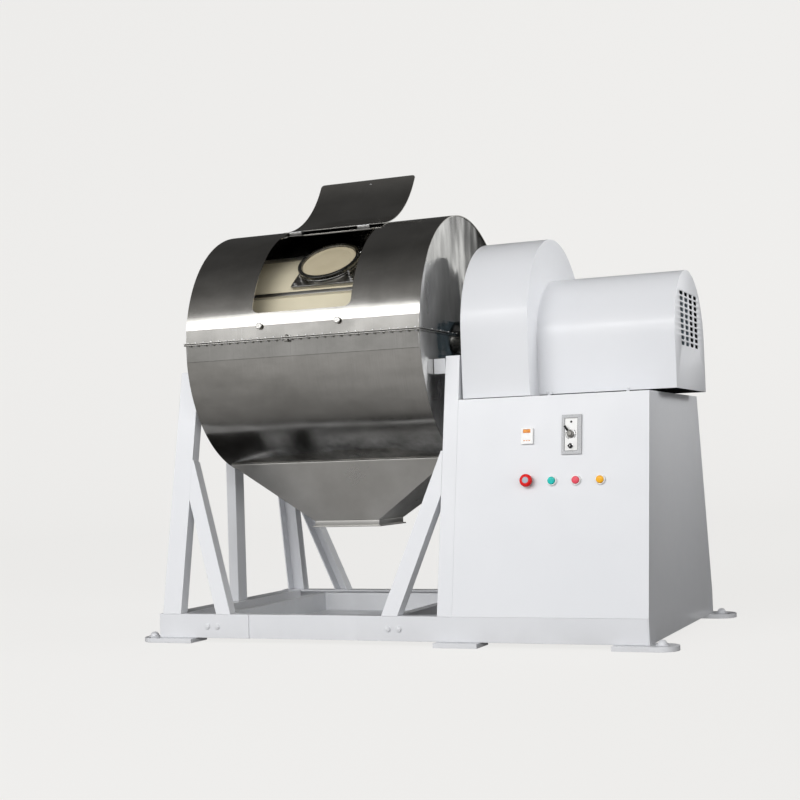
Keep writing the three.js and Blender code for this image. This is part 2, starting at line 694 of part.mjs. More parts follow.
// An end plate with its welded trunnion; the bearing's inner ring is on it.
function drumEnd(shellEnd, outward, shaftEnd, bearingX) {
  const face = shellEnd + outward * GAP;
  const plate = [face, face + outward * DRUM_END_PLATE];
  const hub = [face, face + outward * 30];
  const ring = [bearingX - BEARING_WIDTH / 2 - 4, bearingX + BEARING_WIDTH / 2 + 4];
  const order = (range) => [Math.min(...range), Math.max(...range)];
  return join(
    cylinderX(DRUM_RADIUS, order(plate), DRUM_SEGMENTS),
    cylinderX(90, order(hub), 32),
    cylinderX(SHAFT_RADIUS, order([face, shaftEnd]), 24),
    cylinderX(BEARING_RING, ring, 32),
  );
}
const LEFT_BEARING_X = 52;
const RIGHT_BEARING_X = 984;
piece("drum_end_left", drumEnd(DRUM_LEFT, -1, 14, LEFT_BEARING_X), creamLining, axis);
piece("drum_end_right", drumEnd(DRUM_RIGHT, 1, 1085, RIGHT_BEARING_X), creamLining, axis);

// Manhole, built upright about its own axis and laid over to its angle.
const manhole = group(axis);
manhole.rotation.x = radians(90 - MANHOLE_ANGLE);
const upright = group(manhole);
upright.position.x = MANHOLE_X;

const drumBody = cylinderX(DRUM_RADIUS + GAP, [-400, 400], 120);
const saddleBlock = box(
  [-SADDLE_HALF[0], SADDLE_HALF[0]],
  [-SADDLE_HALF[1], SADDLE_HALF[1]],
  [270, SADDLE_TOP],
);
const neck = cylinderZ(NECK_RADII[0], [SADDLE_TOP - 2, NECK_TOP], 40);
const neckBore = cylinderZ(NECK_RADII[1], [200, 400], 40);
const saddle = cut(saddleBlock.add(neck), neckBore, drumBody);
piece("manhole_saddle", saddle, brushedSteel, upright);

const ring = cut(
  cylinderZ(RING_RADII[0], [NECK_TOP + GAP, RING_TOP], 48),
  cylinderZ(RING_RADII[1], [200, 400], 48),
);
piece("manhole_ring", ring, blackRubber, upright);
piece("manhole_lid", cylinderZ(LID_RADIUS, [NECK_TOP + GAP, LID_TOP], 48), creamLining, upright);

// ---- bearings -----------------------------------------------------------
function pillowBlock(x) {
  const seat = LEG_TOP - AXIS_Z + GAP;
  const range = [x - BEARING_WIDTH / 2, x + BEARING_WIDTH / 2];
  const section = [
    [-120, seat],
    [120, seat],
    [120, seat + 18],
    [72, seat + 24],
    ...arc(0, 0, 66, 0, 180, 16),
    [-72, seat + 24],
    [-120, seat + 18],
  ];
  return cut(prismX(section, range), cylinderX(BEARING_BORE, [0, 1200], 32));
}
piece("left_bearing", pillowBlock(LEFT_BEARING_X), castIron, axis);
piece("right_bearing", pillowBlock(RIGHT_BEARING_X), castIron, axis);

// ---- coupling, reducer and motor ----------------------------------------
const coupling = cut(
  join(
    cylinderX(60, [1050, 1080], 32),
    cylinderX(95, [1080, 1106], 40),
    cylinderX(88, [1106, 1120], 40),
  ),
  cylinderX(SHAFT_RADIUS + GAP, [1040, 1085 + GAP], 24),
);
piece("shaft_coupling", coupling, castIron, axis);
const outputShaft = join(
  cylinderX(95, [1120 + GAP, 1146], 40),
  cylinderX(60, [1146, 1176], 32),
  cylinderX(35, [1176, 1232], 24),
);
piece("reducer_output_shaft", outputShaft, castIron, axis);

const seatZ = PEDESTAL_TOP - AXIS_Z + GAP;
const reducerBody = join(
  cylinderX(70, [1204, 1246], 32),
  cylinderX(132, [1246, 1390], 40),
  cylinderX(150, [1300, 1318], 40),
  box([1250, 1386], [-80, 80], [seatZ, -60]),
  box([1250, 1386], [-140, 140], [seatZ, seatZ + 20]),
);
const shaftPocket = cylinderX(37, [1190, 1236], 24);
piece("gear_reducer", cut(reducerBody, shaftPocket), castIron, axis);

const motorBody = join(
  cylinderX(140, [1390 + GAP, 1410], 40),
  cylinderX(112, [1410, 1580], 40),
  cylinderX(118, [1570, 1632], 40),
  box([1440, 1540], [-50, 50], [80, 150]),
);
piece("drive_motor", motorBody, castIron, axis);

// ---- guard over the coupling and cover over the motor -------------------
function archOutline(radius, centreZ, floorZ, steps = 28) {
  return [[-radius, floorZ], [radius, floorZ], ...arc(0, centreZ, radius, 0, 180, steps)];
}
function archShell({ radius, centreZ, standOff, length, walls, lips }) {
  const inner = radius - GUARD_SHEET;
  const bottom = PEDESTAL_TOP + standOff;
  const room = [length[0] + walls[0], length[1] - walls[1]];
  const lipZ = [PEDESTAL_TOP + GAP, bottom + 22];
  return join(
    cut(
      prismX(archOutline(radius, centreZ, bottom), length),
      prismX(archOutline(inner, centreZ, 0), room),
    ),
    box(lips, [-inner - 0.5, 4 - inner], lipZ),
    box(lips, [inner - 4, inner + 0.5], lipZ),
  );
}

const guard = cut(
  archShell({
    radius: GUARD_RADIUS,
    centreZ: AXIS_Z,
    standOff: GUARD_STAND_OFF,
    length: [GUARD_LEFT, GUARD_RIGHT],
    walls: [GUARD_SHEET, GUARD_SHEET],
    lips: [GUARD_LEFT + 8, GUARD_RIGHT - 8],
  }),
  cylinderX(50, [900, 1020], 32, 0, AXIS_Z),
  prismX(archOutline(160, AXIS_Z - 40, 0, 16), [1200, 1300]),
);
piece("coupling_guard", guard, frameWhite);

const VENT_COLUMNS = 4;
const VENT_ROWS = 10;
const VENT_PITCH = [65, 17];
const VENT_SIZE = [38, 9];
const VENT_CENTRE_Z = 956;
function ventSlots() {
  const slots = [];
  for (let column = 0; column < VENT_COLUMNS; column++) {
    for (let row = 0; row < VENT_ROWS; row++) {
      const y = (column - (VENT_COLUMNS - 1) / 2) * VENT_PITCH[0];
      const z = VENT_CENTRE_Z + (row - (VENT_ROWS - 1) / 2) * VENT_PITCH[1];
      const width = [y - VENT_SIZE[0] / 2, y + VENT_SIZE[0] / 2];
      const height = [z - VENT_SIZE[1] / 2, z + VENT_SIZE[1] / 2];
      slots.push(box([COVER_RIGHT - 20, COVER_RIGHT + 20], width, height));
    }
  }
  return slots;
}
const motorCover = archShell({
  radius: COVER_RADIUS,
  centreZ: COVER_CENTRE_Z,
  standOff: COVER_STAND_OFF,
  length: [GUARD_RIGHT + GAP, COVER_RIGHT],
  walls: [-9, GUARD_SHEET],
  lips: [GUARD_RIGHT + 8, BASE_LENGTH - 12],
});
piece("motor_cover", cut(motorCover, ...ventSlots()), frameWhite);

// ---- operator panel, on the leaning front of the pedestal ----------------
const panel = group();
panel.position.set(0, -BASE_HALF_WIDTH, RAIL_TOP);
panel.rotation.x = LEAN;
const onPanel = (name, body, finish) => piece(name, body, finish, panel);
const plastic = (color) => ({ color, roughness: 0.35, metalness: 0 });

const METER_DEPTH = 9;
const meter = cut(
  box([1216, 1252.5], [508.6, 556.8], [GAP, METER_DEPTH]),
  box([1221.7, 1245], [541.7, 552.7], [METER_DEPTH - 1.5, METER_DEPTH + 9]),
);
onPanel("panel_meter", meter, whitePlastic);

const PLATE_DEPTH = 6;
const KNOB_X = 1368;
const SELECTOR_Y = 533.7;
const LOCK_Y = 498.1;
const plate = cut(
  box([1340, 1400.4], [473.5, 592], [GAP, PLATE_DEPTH]),
  box([1349, 1388.6], [484, 582], [PLATE_DEPTH - 3, PLATE_DEPTH + 9]),
  cylinderZ(11.5, [-9, 20], 24, KNOB_X, SELECTOR_Y),
  cylinderZ(5.5, [-9, 20], 16, KNOB_X, LOCK_Y),
);
onPanel("switch_plate", plate, greyPlastic);

const SELECTOR_REST = 35; // degrees the lever stands to the left of upright
const selector = group(panel);
selector.position.set(KNOB_X, SELECTOR_Y, 0);
selector.rotation.z = radians(SELECTOR_REST);
const selectorKnob = join(
  cylinderZ(11, [GAP, 12], 24, 0, 0, 10),
  cylinderZ(7, [11, 22], 20, 0, 0, 6),
  box([-2.5, 2.5], [0, 29], [13, 18]),
);
piece("selector_knob", selectorKnob, brightSteel, selector);

const lock = group(panel);
lock.position.set(KNOB_X, LOCK_Y, 0);
lock.rotation.z = radians(45);
const lockKnob = cylinderZ(5, [GAP, 6], 16).add(box([-6, 6], [-6, 6], [5, 13]));
piece("lock_knob", lockKnob, blackRubber, lock);

const ESTOP_X = 1236.5;
const ESTOP_TRAVEL = 5;
const BUTTON_Y = 397;
const BUTTON_TRAVEL = 3;
const BUTTONS = [
  ["start", 1311.5, signalColours.green],
  ["stop", 1384.5, signalColours.pink],
  ["reset", 1457.5, signalColours.amber],
];
const estop = join(
  cylinderZ(10, [ESTOP_TRAVEL + GAP, 14], 24, ESTOP_X, BUTTON_Y + 1),
  cylinderZ(19, [13, 22], 32, ESTOP_X, BUTTON_Y + 1, 17.5),
  cylinderZ(17.5, [22, 25], 32, ESTOP_X, BUTTON_Y + 1, 12),
);
onPanel("estop_button", estop, plastic(signalColours.red));
for (const [word, x, colour] of BUTTONS) {
  const bezel = cut(
    cylinderZ(15, [GAP, 8], 32, x, BUTTON_Y, 14),
    cylinderZ(11.4, [-9, 20], 24, x, BUTTON_Y),
  );
  const cap = cylinderZ(11, [BUTTON_TRAVEL + GAP, 13], 24, x, BUTTON_Y, 10.4);
  onPanel(word + "_bezel", bezel, whitePlastic);
  onPanel(word + "_button", cap, plastic(colour));
}

// ---- whole machine: origin on the floor, under the middle of its box ------
const whole = new THREE.Group();
mill.position.x = -(BASE_LENGTH + FOOT_OVERHANG_RIGHT - FOOT_OVERHANG_LEFT) / 2;
whole.add(mill);

export default whole;
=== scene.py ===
import math

import bmesh
import bpy
from mathutils import Matrix, Vector


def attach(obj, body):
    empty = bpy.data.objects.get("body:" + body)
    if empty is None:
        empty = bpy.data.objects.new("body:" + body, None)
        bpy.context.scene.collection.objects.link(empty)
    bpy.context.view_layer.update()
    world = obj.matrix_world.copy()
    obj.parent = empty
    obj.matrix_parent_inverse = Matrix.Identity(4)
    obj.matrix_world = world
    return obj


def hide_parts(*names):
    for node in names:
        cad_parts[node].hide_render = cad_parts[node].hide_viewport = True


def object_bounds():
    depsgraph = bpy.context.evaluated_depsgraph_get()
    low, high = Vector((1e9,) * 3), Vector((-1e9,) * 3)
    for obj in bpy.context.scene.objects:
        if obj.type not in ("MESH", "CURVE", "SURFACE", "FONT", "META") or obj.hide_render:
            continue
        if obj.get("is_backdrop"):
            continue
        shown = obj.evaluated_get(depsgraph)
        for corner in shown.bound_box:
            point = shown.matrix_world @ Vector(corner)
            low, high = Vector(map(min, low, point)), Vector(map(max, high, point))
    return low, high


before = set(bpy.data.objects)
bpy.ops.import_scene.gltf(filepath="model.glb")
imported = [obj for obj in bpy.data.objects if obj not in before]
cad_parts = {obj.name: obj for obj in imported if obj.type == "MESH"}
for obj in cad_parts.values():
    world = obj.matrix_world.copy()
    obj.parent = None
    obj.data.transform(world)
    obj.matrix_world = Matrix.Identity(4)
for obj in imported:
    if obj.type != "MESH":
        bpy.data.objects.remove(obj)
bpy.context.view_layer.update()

# ---- driving dimensions, metres; the drum's axis runs along X ----
AXIS_Z = 0.941
X_SHIFT = 0.81  # the machine's drawing starts at the left end of its base
CASING_R = 0.409
OPENING = (13.8, 65.0)  # degrees above the horizontal on the operator's side
OPENING_CORNER = 0.024
SPLIT_Z = AXIS_Z + 0.01  # where the casing parts
CREASE_ANGLE = 8.0
LOWER_CREASE = -6.5
DOOR_ANGLES = (12.9, 66.58)
DOOR_CORNER = 0.012
DOOR_OUTER = 0.4146
DOOR_SHEET = 0.0026
HINGE_ANGLE = 67.5
HINGE_R = CASING_R + 0.007
DOOR_OPEN = 196.0
HINGE_CENTRES = (0.389, 0.637)
HINGE_LENGTH = 0.043
KNUCKLE = 0.014
CATCH_ANGLE = 8.3
CATCH_CENTRES = (0.376, 0.651)
DRUM_R = 0.312
DRUM_WALL = 0.012
BAR_FIRST = 31.0
BAR_COUNT = 8
MANHOLE_X = 0.533
MANHOLE_ANGLE = 52.0
GUARD_R = 0.3024
COVER_R = 0.208
COVER_Z = 0.9025
SHEET = 0.003
BASE_HALF_WIDTH = 0.4437
RAIL_TOP = 0.089
LEAN = math.atan2(0.644, 0.1184)

radians = math.radians


def mx(x):
    """A drawing's x in the shared frame."""
    return x - X_SHIFT


# ---- node materials ----
EVEN = (1, 1, 1)
AROUND = (1.0, 0.012, 0.012)  # grain lines that run round the casing


def scaled(noise):
    """A noise's scale and stretch; a bare scale is an even noise."""
    return noise if isinstance(noise, tuple) else (noise, EVEN)


class Nodes:
    """Short ways to add the nodes that the finishes below share."""

    def __init__(self, tree):
        self.tree = tree
        self.coord = tree.nodes.new("ShaderNodeTexCoord")

    def add(self, kind, **values):
        node = self.tree.nodes.new(kind)
        for key, value in values.items():
            setattr(node, key, value)
        return node

    def link(self, a, b):
        self.tree.links.new(a, b)

    def noise(self, scale, stretch=EVEN, detail=4.0, rough=0.55, source="Object"):
        mapping = self.add("ShaderNodeMapping")
        mapping.inputs["Scale"].default_value = stretch
        self.link(self.coord.outputs[source], mapping.inputs["Vector"])
        node = self.add("ShaderNodeTexNoise")
        node.inputs["Scale"].default_value = scale
        node.inputs["Detail"].default_value = detail
        node.inputs["Roughness"].default_value = rough
        self.link(mapping.outputs["Vector"], node.inputs["Vector"])
        return node.outputs["Fac"]

    def span(self, value, low, high, out_low, out_high):
        node = self.add("ShaderNodeMapRange")
        node.inputs["From Min"].default_value = low
        node.inputs["From Max"].default_value = high
        node.inputs["To Min"].default_value = out_low
        node.inputs["To Max"].default_value = out_high
        self.link(value, node.inputs["Value"])
        return node.outputs["Result"]

    def mix(self, factor, a, b):
        node = self.add("ShaderNodeMix", data_type="RGBA")
        self.link(factor, node.inputs["Factor"])
        for value, socket in ((a, node.inputs[6]), (b, node.inputs[7])):
            if isinstance(value, tuple):
                socket.default_value = (*value, 1.0)
            else:
                self.link(value, socket)
        return node.outputs[2]

    def math(self, operation, a, b):
        node = self.add("ShaderNodeMath", operation=operation)
        for value, socket in ((a, node.inputs[0]), (b, node.inputs[1])):
            if isinstance(value, (int, float)):
                socket.default_value = value
            else:
                self.link(value, socket)
        return node.outputs[0]

    def bump(self, height, strength, distance, normal=None):
        node = self.add("ShaderNodeBump")
        node.inputs["Strength"].default_value = strength
        node.inputs["Distance"].default_value = distance
        self.link(height, node.inputs["Height"])
        if normal is not None:
            self.link(normal, node.inputs["Normal"])
        return node.outputs["Normal"]


def finish_of(
    name,
    light,
    dark,
    rough,
    metallic=0.0,
    patch=3.0,
    cloud=6.0,
    grain=400.0,
    grain_bump=(0.08, 0.0004),
    wave_bump=None,
    grain_tone=0.0,
    grime_and_painted_reflection=None,
    coat=(0.0, 0.1),
    specular=None,
):
    """A finish: two tones in soft patches, roughness in clouds, and a fine grain in relief."""
    made = bpy.data.materials.new(name)
    made.use_nodes = True
    n = Nodes(made.node_tree)
    shader = made.node_tree.nodes["Principled BSDF"]
    shader.inputs["Metallic"].default_value = metallic
    shader.inputs["Coat Weight"].default_value = coat[0]
    shader.inputs["Coat Roughness"].default_value = coat[1]
    if specular is not None:
        shader.inputs["Specular IOR Level"].default_value = specular
    patches = n.span(n.noise(*scaled(patch)), 0.32, 0.68, 0.0, 1.0)
    tone = n.mix(patches, light, dark)
    fine = n.noise(*scaled(grain), detail=2.0, rough=0.5)
    if grain_tone:
        tone = n.mix(n.span(fine, 0.35, 0.7, 0.0, grain_tone), tone, dark)
    # darker towards the bottom in noisy patches: grime near the floor on the white paint, a
    # painted dark reflection on the casing's belly
    if grime_and_painted_reflection:
        colour, low, high, most = grime_and_painted_reflection
        split = n.add("ShaderNodeSeparateXYZ")
        n.link(n.coord.outputs["Object"], split.inputs["Vector"])
        height = n.span(split.outputs["Z"], low, high, most, 0.0)
        grime_and_reflection_mask = n.math("MULTIPLY", height, n.span(n.noise(9.0), 0.3, 0.75, 0.2, 1.0))
        tone = n.mix(grime_and_reflection_mask, tone, colour)
    n.link(tone, shader.inputs["Base Color"])
    clouds = n.noise(*scaled(cloud), detail=5.0)
    n.link(n.span(clouds, 0.3, 0.7, rough[0], rough[1]), shader.inputs["Roughness"])
    normal = n.bump(fine, *grain_bump)
    if wave_bump:
        scale, stretch, strength, distance = wave_bump
        normal = n.bump(n.noise(scale, stretch, detail=1.0), strength, distance, normal)
    n.link(normal, shader.inputs["Normal"])
    return made


WHITE = finish_of(
    "frame_white", (0.79, 0.8, 0.825), (0.76, 0.772, 0.8), (0.3, 0.42), patch=2.2,
    cloud=14.0, grain=520.0, grain_bump=(0.1, 0.00025), wave_bump=(7.0, EVEN, 0.1, 0.004),
    grime_and_painted_reflection=((0.52, 0.52, 0.53), 0.0, 0.1, 0.35), coat=(0.3, 0.06),
)
# from 0.7 m down to 0.61 m the brushed casing darkens to near black: a painted dark reflection
# along the belly
CASING = finish_of(
    "casing_brushed", (0.68, 0.665, 0.635), (0.44, 0.43, 0.405), (0.1, 0.21), metallic=1.0,
    patch=(6.5, (0.55, 1, 1)), cloud=(8.0, (1.0, 0.9, 0.9)), grain=(900.0, AROUND),
    grain_bump=(0.07, 0.0003), wave_bump=(5.0, (1.3, 0.7, 0.7), 0.22, 0.012), grain_tone=0.3,
    grime_and_painted_reflection=((0.03, 0.03, 0.028), 0.61, 0.7, 1.0),
)
HOPPER_STEEL = finish_of(
    "hopper_brushed", (0.7, 0.69, 0.665), (0.56, 0.55, 0.525), (0.27, 0.38), metallic=1.0,
    patch=6.0, cloud=9.0, grain=(800.0, (1.0, 1.0, 0.05)), grain_bump=(0.05, 0.0002),
    wave_bump=(4.0, EVEN, 0.1, 0.008), grain_tone=0.2,
)
MIRROR = finish_of(
    "end_plate_polished", (0.78, 0.775, 0.76), (0.52, 0.52, 0.51), (0.03, 0.3), metallic=1.0,
    patch=(9.0, (1, 1.6, 0.6)), cloud=(6.0, (1, 2.2, 0.7)), grain=(700.0, (1.0, 1.0, 0.02)),
    grain_bump=(0.05, 0.0003), wave_bump=(7.0, (1, 1.6, 0.8), 0.6, 0.012), grain_tone=0.15,
)
CHROME = finish_of(
    "hardware_bright", (0.74, 0.74, 0.74), (0.6, 0.6, 0.6), (0.14, 0.26), metallic=1.0,
    patch=40.0, cloud=60.0, grain=1500.0, grain_bump=(0.05, 0.0001),
)
DULL = finish_of(
    "hardware_dull", (0.36, 0.35, 0.33), (0.22, 0.215, 0.2), (0.32, 0.48), metallic=1.0,
    patch=60.0, cloud=50.0, grain=1200.0, grain_bump=(0.08, 0.0001),
)
DARK_RING = finish_of(
    "clamp_ring_dark", (0.32, 0.315, 0.3), (0.14, 0.14, 0.13), (0.18, 0.32), metallic=1.0,
    patch=25.0, cloud=30.0, grain=1400.0, grain_bump=(0.05, 0.0001),
)
WELD = finish_of(
    "weld_steel", (0.34, 0.335, 0.32), (0.2, 0.19, 0.175), (0.3, 0.45), metallic=1.0,
    patch=80.0, cloud=90.0, grain=900.0, grain_bump=(0.4, 0.0006),
)
# the drum's cream is lighter than its paint: painted light making up for the shade inside the
# casing
DRUM_CREAM_LIT = finish_of(
    "drum_cream", (0.78, 0.715, 0.54), (0.68, 0.62, 0.46), (0.34, 0.5), patch=5.0, cloud=16.0,
    grain=350.0, grain_bump=(0.12, 0.0004), wave_bump=(9.0, (0.3, 1, 1), 0.1, 0.004),
)
# the lid has the drum's cream paint, made darker: a painted shade copy of one paint
LID_CREAM_SHADED = finish_of(
    "lid_cream_painted_shade", (0.57, 0.505, 0.36), (0.52, 0.455, 0.315), (0.4, 0.52), patch=14.0,
    cloud=30.0, grain=350.0, grain_bump=(0.12, 0.0004),
)
CAST = finish_of(
    "cast_paint", (0.085, 0.125, 0.15), (0.055, 0.085, 0.105), (0.42, 0.6), patch=10.0,
    cloud=20.0, grain=260.0, grain_bump=(0.35, 0.0008),
)
TRAY = finish_of(
    "tray_satin", (0.8, 0.81, 0.83), (0.7, 0.71, 0.73), (0.36, 0.5), metallic=0.15,
    patch=6.0, cloud=12.0, grain=(700.0, (0.02, 1.0, 1.0)), grain_bump=(0.08, 0.0003),
    grain_tone=0.25,
)
# near-black rubber for the flange gasket, also used as painted shade on the inside of the guard
# and cover
RUBBER_AND_SHADE_BLACK = finish_of(
    "gasket_and_inside_shade_black", (0.022, 0.022, 0.022), (0.012, 0.012, 0.012), (0.55, 0.75), patch=30.0,
    cloud=60.0, grain=900.0, grain_bump=(0.2, 0.0003),
)
BLACK = finish_of(
    "plastic_black", (0.012, 0.012, 0.013), (0.006, 0.006, 0.007), (0.35, 0.5), patch=60.0,
    cloud=90.0, grain=2200.0, grain_bump=(0.12, 0.0001), specular=0.2,
)
METER = finish_of(
    "plastic_white", (0.96, 0.96, 0.95), (0.91, 0.91, 0.9), (0.3, 0.42), patch=70.0,
    cloud=90.0, grain=2200.0, grain_bump=(0.1, 0.0001),
)
PLATE = finish_of(
    "plate_grey", (0.6, 0.61, 0.625), (0.38, 0.385, 0.395), (0.38, 0.52), metallic=0.15,
    patch=520.0, cloud=90.0, grain=900.0, grain_bump=(0.35, 0.0004),
)


def plastic(name, light, dark, specular=0.3):
    return finish_of(
        name, light, dark, (0.2, 0.32), patch=90.0, cloud=140.0, grain=2400.0,
        grain_bump=(0.06, 0.0001), coat=(0.05, 0.1), specular=specular,
    )


RED = plastic("plastic_red", (0.8, 0.008, 0.008), (0.66, 0.005, 0.005), 0.15)
GREEN = plastic("plastic_green", (0.0, 0.6, 0.54), (0.0, 0.48, 0.43))
PINK = plastic("plastic_pink", (0.86, 0.085, 0.13), (0.74, 0.055, 0.09))
AMBER = plastic("plastic_amber", (1.0, 0.5, 0.0), (0.9, 0.42, 0.0))
SLATE = plastic("plastic_slate", (0.46, 0.52, 0.58), (0.34, 0.4, 0.46))
ORANGE = plastic("display_orange", (0.9, 0.36, 0.06), (0.72, 0.24, 0.03))


# ---- making meshes ----
def smooth(mesh, angle):
    mesh.shade_smooth()
    mesh.set_sharp_from_angle(angle=radians(angle))


def shown(name, data):
    """A new object in the scene."""
    obj = bpy.data.objects.new(name, data)
    bpy.context.scene.collection.objects.link(obj)
    return obj


def evaluated_mesh(obj):
    bpy.context.view_layer.update()
    graph = bpy.context.evaluated_depsgraph_get()
    return bpy.data.meshes.new_from_object(obj.evaluated_get(graph), depsgraph=graph)


def thicken(obj, thickness, bevel=0.0006, segments=2, limit=40, inner=None):
    """Gives a sheet its thickness, inwards, and breaks its edges, all in the mesh itself."""
    if thickness:
        if inner is not None:
            obj.data.materials.append(inner)
        solid = obj.modifiers.new("sheet", "SOLIDIFY")
        solid.thickness = thickness
        solid.offset = -1
        solid.use_even_offset = True
        solid.material_offset = 0 if inner is None else 1
    if bevel:
        edge = obj.modifiers.new("edge", "BEVEL")
        edge.width = bevel
        edge.segments = segments
        edge.limit_method = "ANGLE"
        edge.angle_limit = radians(limit)
        edge.harden_normals = True
    made = evaluated_mesh(obj)
    obj.modifiers.clear()
    old = obj.data
    obj.data = made
    bpy.data.meshes.remove(old)


def piece(name, material, body="frame", sharp=35.0):
    """Turns the function that it stands on, which fills a bmesh, into a piece."""

    def made(build):
        bm = bmesh.new()
        build(bm)
        bmesh.ops.recalc_face_normals(bm, faces=bm.faces)
        mesh = bpy.data.meshes.new(name)
        bm.to_mesh(mesh)
        bm.free()
        smooth(mesh, sharp)
        return dress(shown(name, mesh), material, body)

    return made


def dress(obj, material, body):
    obj.data.materials.clear()
    obj.data.materials.append(material)
    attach(obj, body)
    return obj


def rows_to_faces(bm, rows):
    """Joins lines of points along X into strips, open in the middle between lines of four."""
    lines = [[bm.verts.new(p) for p in row] for row in rows]
    for a, b in zip(lines, lines[1:]):
        if len(a) == 4 and len(b) == 4:
            bm.faces.new((a[0], b[0], b[1], a[1]))
            bm.faces.new((a[2], b[2], b[3], a[3]))
        else:
            bm.faces.new(a[::-1] + b)
    return lines


def around(radius, angle):
    """The y and z of a point at an angle above the horizontal on the operator's side."""
    return -radius * math.cos(radians(angle)), AXIS_Z + radius * math.sin(radians(angle))


def inset(distance, corner):
    """How far a rounded corner stands back from the side, at a distance from the end."""
    if distance >= corner:
        return 0.0
    return corner - math.sqrt(max(0.0, corner**2 - (corner - distance) ** 2))


def corner_angles(low, high, radius, corner, steps=7):
    """The angles where a rounded corner needs a line, at both ends of a span."""
    found = []
    for i in range(steps + 1):
        distance = corner * (1 - math.cos(i / steps * math.pi / 2))
        found += [low + math.degrees(distance / radius), high - math.degrees(distance / radius)]
    return found


def spread(start, end, step):
    count = max(1, round(abs(end - start) / step))
    return [start + (end - start) * i / count for i in range(count + 1)]


def tidy_angles(values, least=0.05):
    kept = []
    for value in sorted(values):
        if not kept or value - kept[-1] > least:
            kept.append(value)
    return kept


def lathe(bm, profile, matrix, steps=48):
    """A turned body from (radius, height) points, about the matrix's own Z."""
    rings = []
    for radius, height in profile:
        if radius < 1e-7:
            rings.append([bm.verts.new(matrix @ Vector((0, 0, height)))])
            continue
        ring = []
        for i in range(steps):
            a = 2 * math.pi * i / steps
            point = Vector((radius * math.cos(a), radius * math.sin(a), height))
            ring.append(bm.verts.new(matrix @ point))
        rings.append(ring)
    for a, b in zip(rings, rings[1:]):
        for i in range(steps):
            j = (i + 1) % steps
            corners = [a[i % len(a)], a[j % len(a)], b[j % len(b)], b[i % len(b)]]
            kept = list(dict.fromkeys(corners))
            if len(kept) > 2:
                bm.faces.new(kept)


def turned(radius, low, high, ease=0.001, hollow=0.0, steps=2):
    """The profile of a plain turned part with eased edges, open or bored."""
    points = [(hollow, low)]
    for i in range(steps + 1):
        a = math.pi / 2 * i / steps
        points.append((radius - ease + ease * math.sin(a), low + ease - ease * math.cos(a)))
    for i in range(steps + 1):
        a = math.pi / 2 * i / steps
        points.append((radius - ease + ease * math.cos(a), high - ease + ease * math.sin(a)))
    points.append((hollow, high))
    if hollow:
        points.append((hollow, low))
    return points


def block(bm, low, high, matrix=None, ease=0.0008, steps=2):
    """A bar or plate with all its edges eased."""
    made = bmesh.ops.create_cube(bm, size=1.0)["verts"]
    size = Vector(high) - Vector(low)
    middle = (Vector(high) + Vector(low)) / 2
    for v in made:
        v.co = Vector((v.co.x * size.x, v.co.y * size.y, v.co.z * size.z)) + middle
    edges = {e for v in made for e in v.link_edges}
    done = bmesh.ops.bevel(
        bm, geom=list(edges), offset=ease, segments=steps, affect="EDGES", profile=0.5
    )
    if matrix is not None:
        for v in {v for f in done["faces"] for v in f.verts} | {v for v in made if v.is_valid}:
            v.co = matrix @ v.co


def bolt(bm, matrix, across=0.013, height=0.0055, washer=0.0085):
    """A hexagon head on its washer, standing on the matrix's XY plane."""
    lathe(bm, turned(washer, 0.0, 0.0014, 0.0004), matrix, 20)
    r = across / math.sqrt(3)
    levels = [(r, 0.0014), (r, height - 0.0008), (r * 0.86, height), (0.0, height + 0.0001)]
    lathe(bm, [(0.0, 0.0014), *levels], matrix, 6)


def dome(bm, matrix, radius, height, steps=24):
    profile = [(radius, 0.0)]
    for i in range(1, 7):
        a = math.pi / 2 * i / 6
        profile.append((radius * math.cos(a), height * math.sin(a)))
    profile[-1] = (0.0, height)
    lathe(bm, [(0.0, 0.0), *profile], matrix, steps)


def bead(bm, points, radius, sides=8, step=0.004):
    """A weld bead along a line, rippled along its length."""
    line = []
    for a, b in zip(points, points[1:]):
        a, b = Vector(a), Vector(b)
        count = max(1, int((b - a).length / step))
        line += [a.lerp(b, i / count) for i in range(count)]
    line.append(Vector(points[-1]))
    rings = []
    for i, p in enumerate(line):
        ahead = line[min(i + 1, len(line) - 1)] - line[max(i - 1, 0)]
        turn = ahead.to_track_quat("Z", "Y").to_matrix()
        r = radius * (1.0 + 0.16 * math.sin(i * 2.1) + 0.07 * math.sin(i * 0.77 + 1.3))
        if i in (0, len(line) - 1):
            r = radius * 0.35
        ring = []
        for k in range(sides):
            a = 2 * math.pi * k / sides
            ring.append(bm.verts.new(p + turn @ Vector((r * math.cos(a), r * math.sin(a), 0))))
        rings.append(ring)
    for a, b in zip(rings, rings[1:]):
        for k in range(sides):
            j = (k + 1) % sides
            bm.faces.new((a[k], a[j], b[j], b[k]))
    bm.faces.new(rings[0][::-1])
    bm.faces.new(rings[-1])


def cut_plate(name, outline, holes, thickness, ease, matrix, material, body="frame", slot=None):
    """A flat plate of any outline with holes, its edges rounded over."""
    flat = bpy.data.curves.new(name, "CURVE")
    flat.dimensions = "2D"
    flat.fill_mode = "BOTH"
    flat.extrude = thickness / 2 - ease
    flat.bevel_depth = ease
    flat.bevel_resolution = 1
    flat.offset = -ease
    for loop in [outline, *holes]:
        line = flat.splines.new("POLY")
        line.points.add(len(loop) - 1)
        for point, (x, y) in zip(line.points, loop):
            point.co = (x, y, 0, 1)
        line.use_cyclic_u = True
    drawn = shown(name + "_outline", flat)
    mesh = evaluated_mesh(drawn)
    bpy.data.objects.remove(drawn)
    bpy.data.curves.remove(flat)
    mesh.name = name
    bm = bmesh.new()
    bm.from_mesh(mesh)
    bmesh.ops.remove_doubles(bm, verts=bm.verts, dist=1e-6)
    bmesh.ops.recalc_face_normals(bm, faces=bm.faces)
    bm.to_mesh(mesh)
    bm.free()
    mesh.transform(matrix)
    smooth(mesh, 50)
    return dress(shown(name, mesh), material, body)


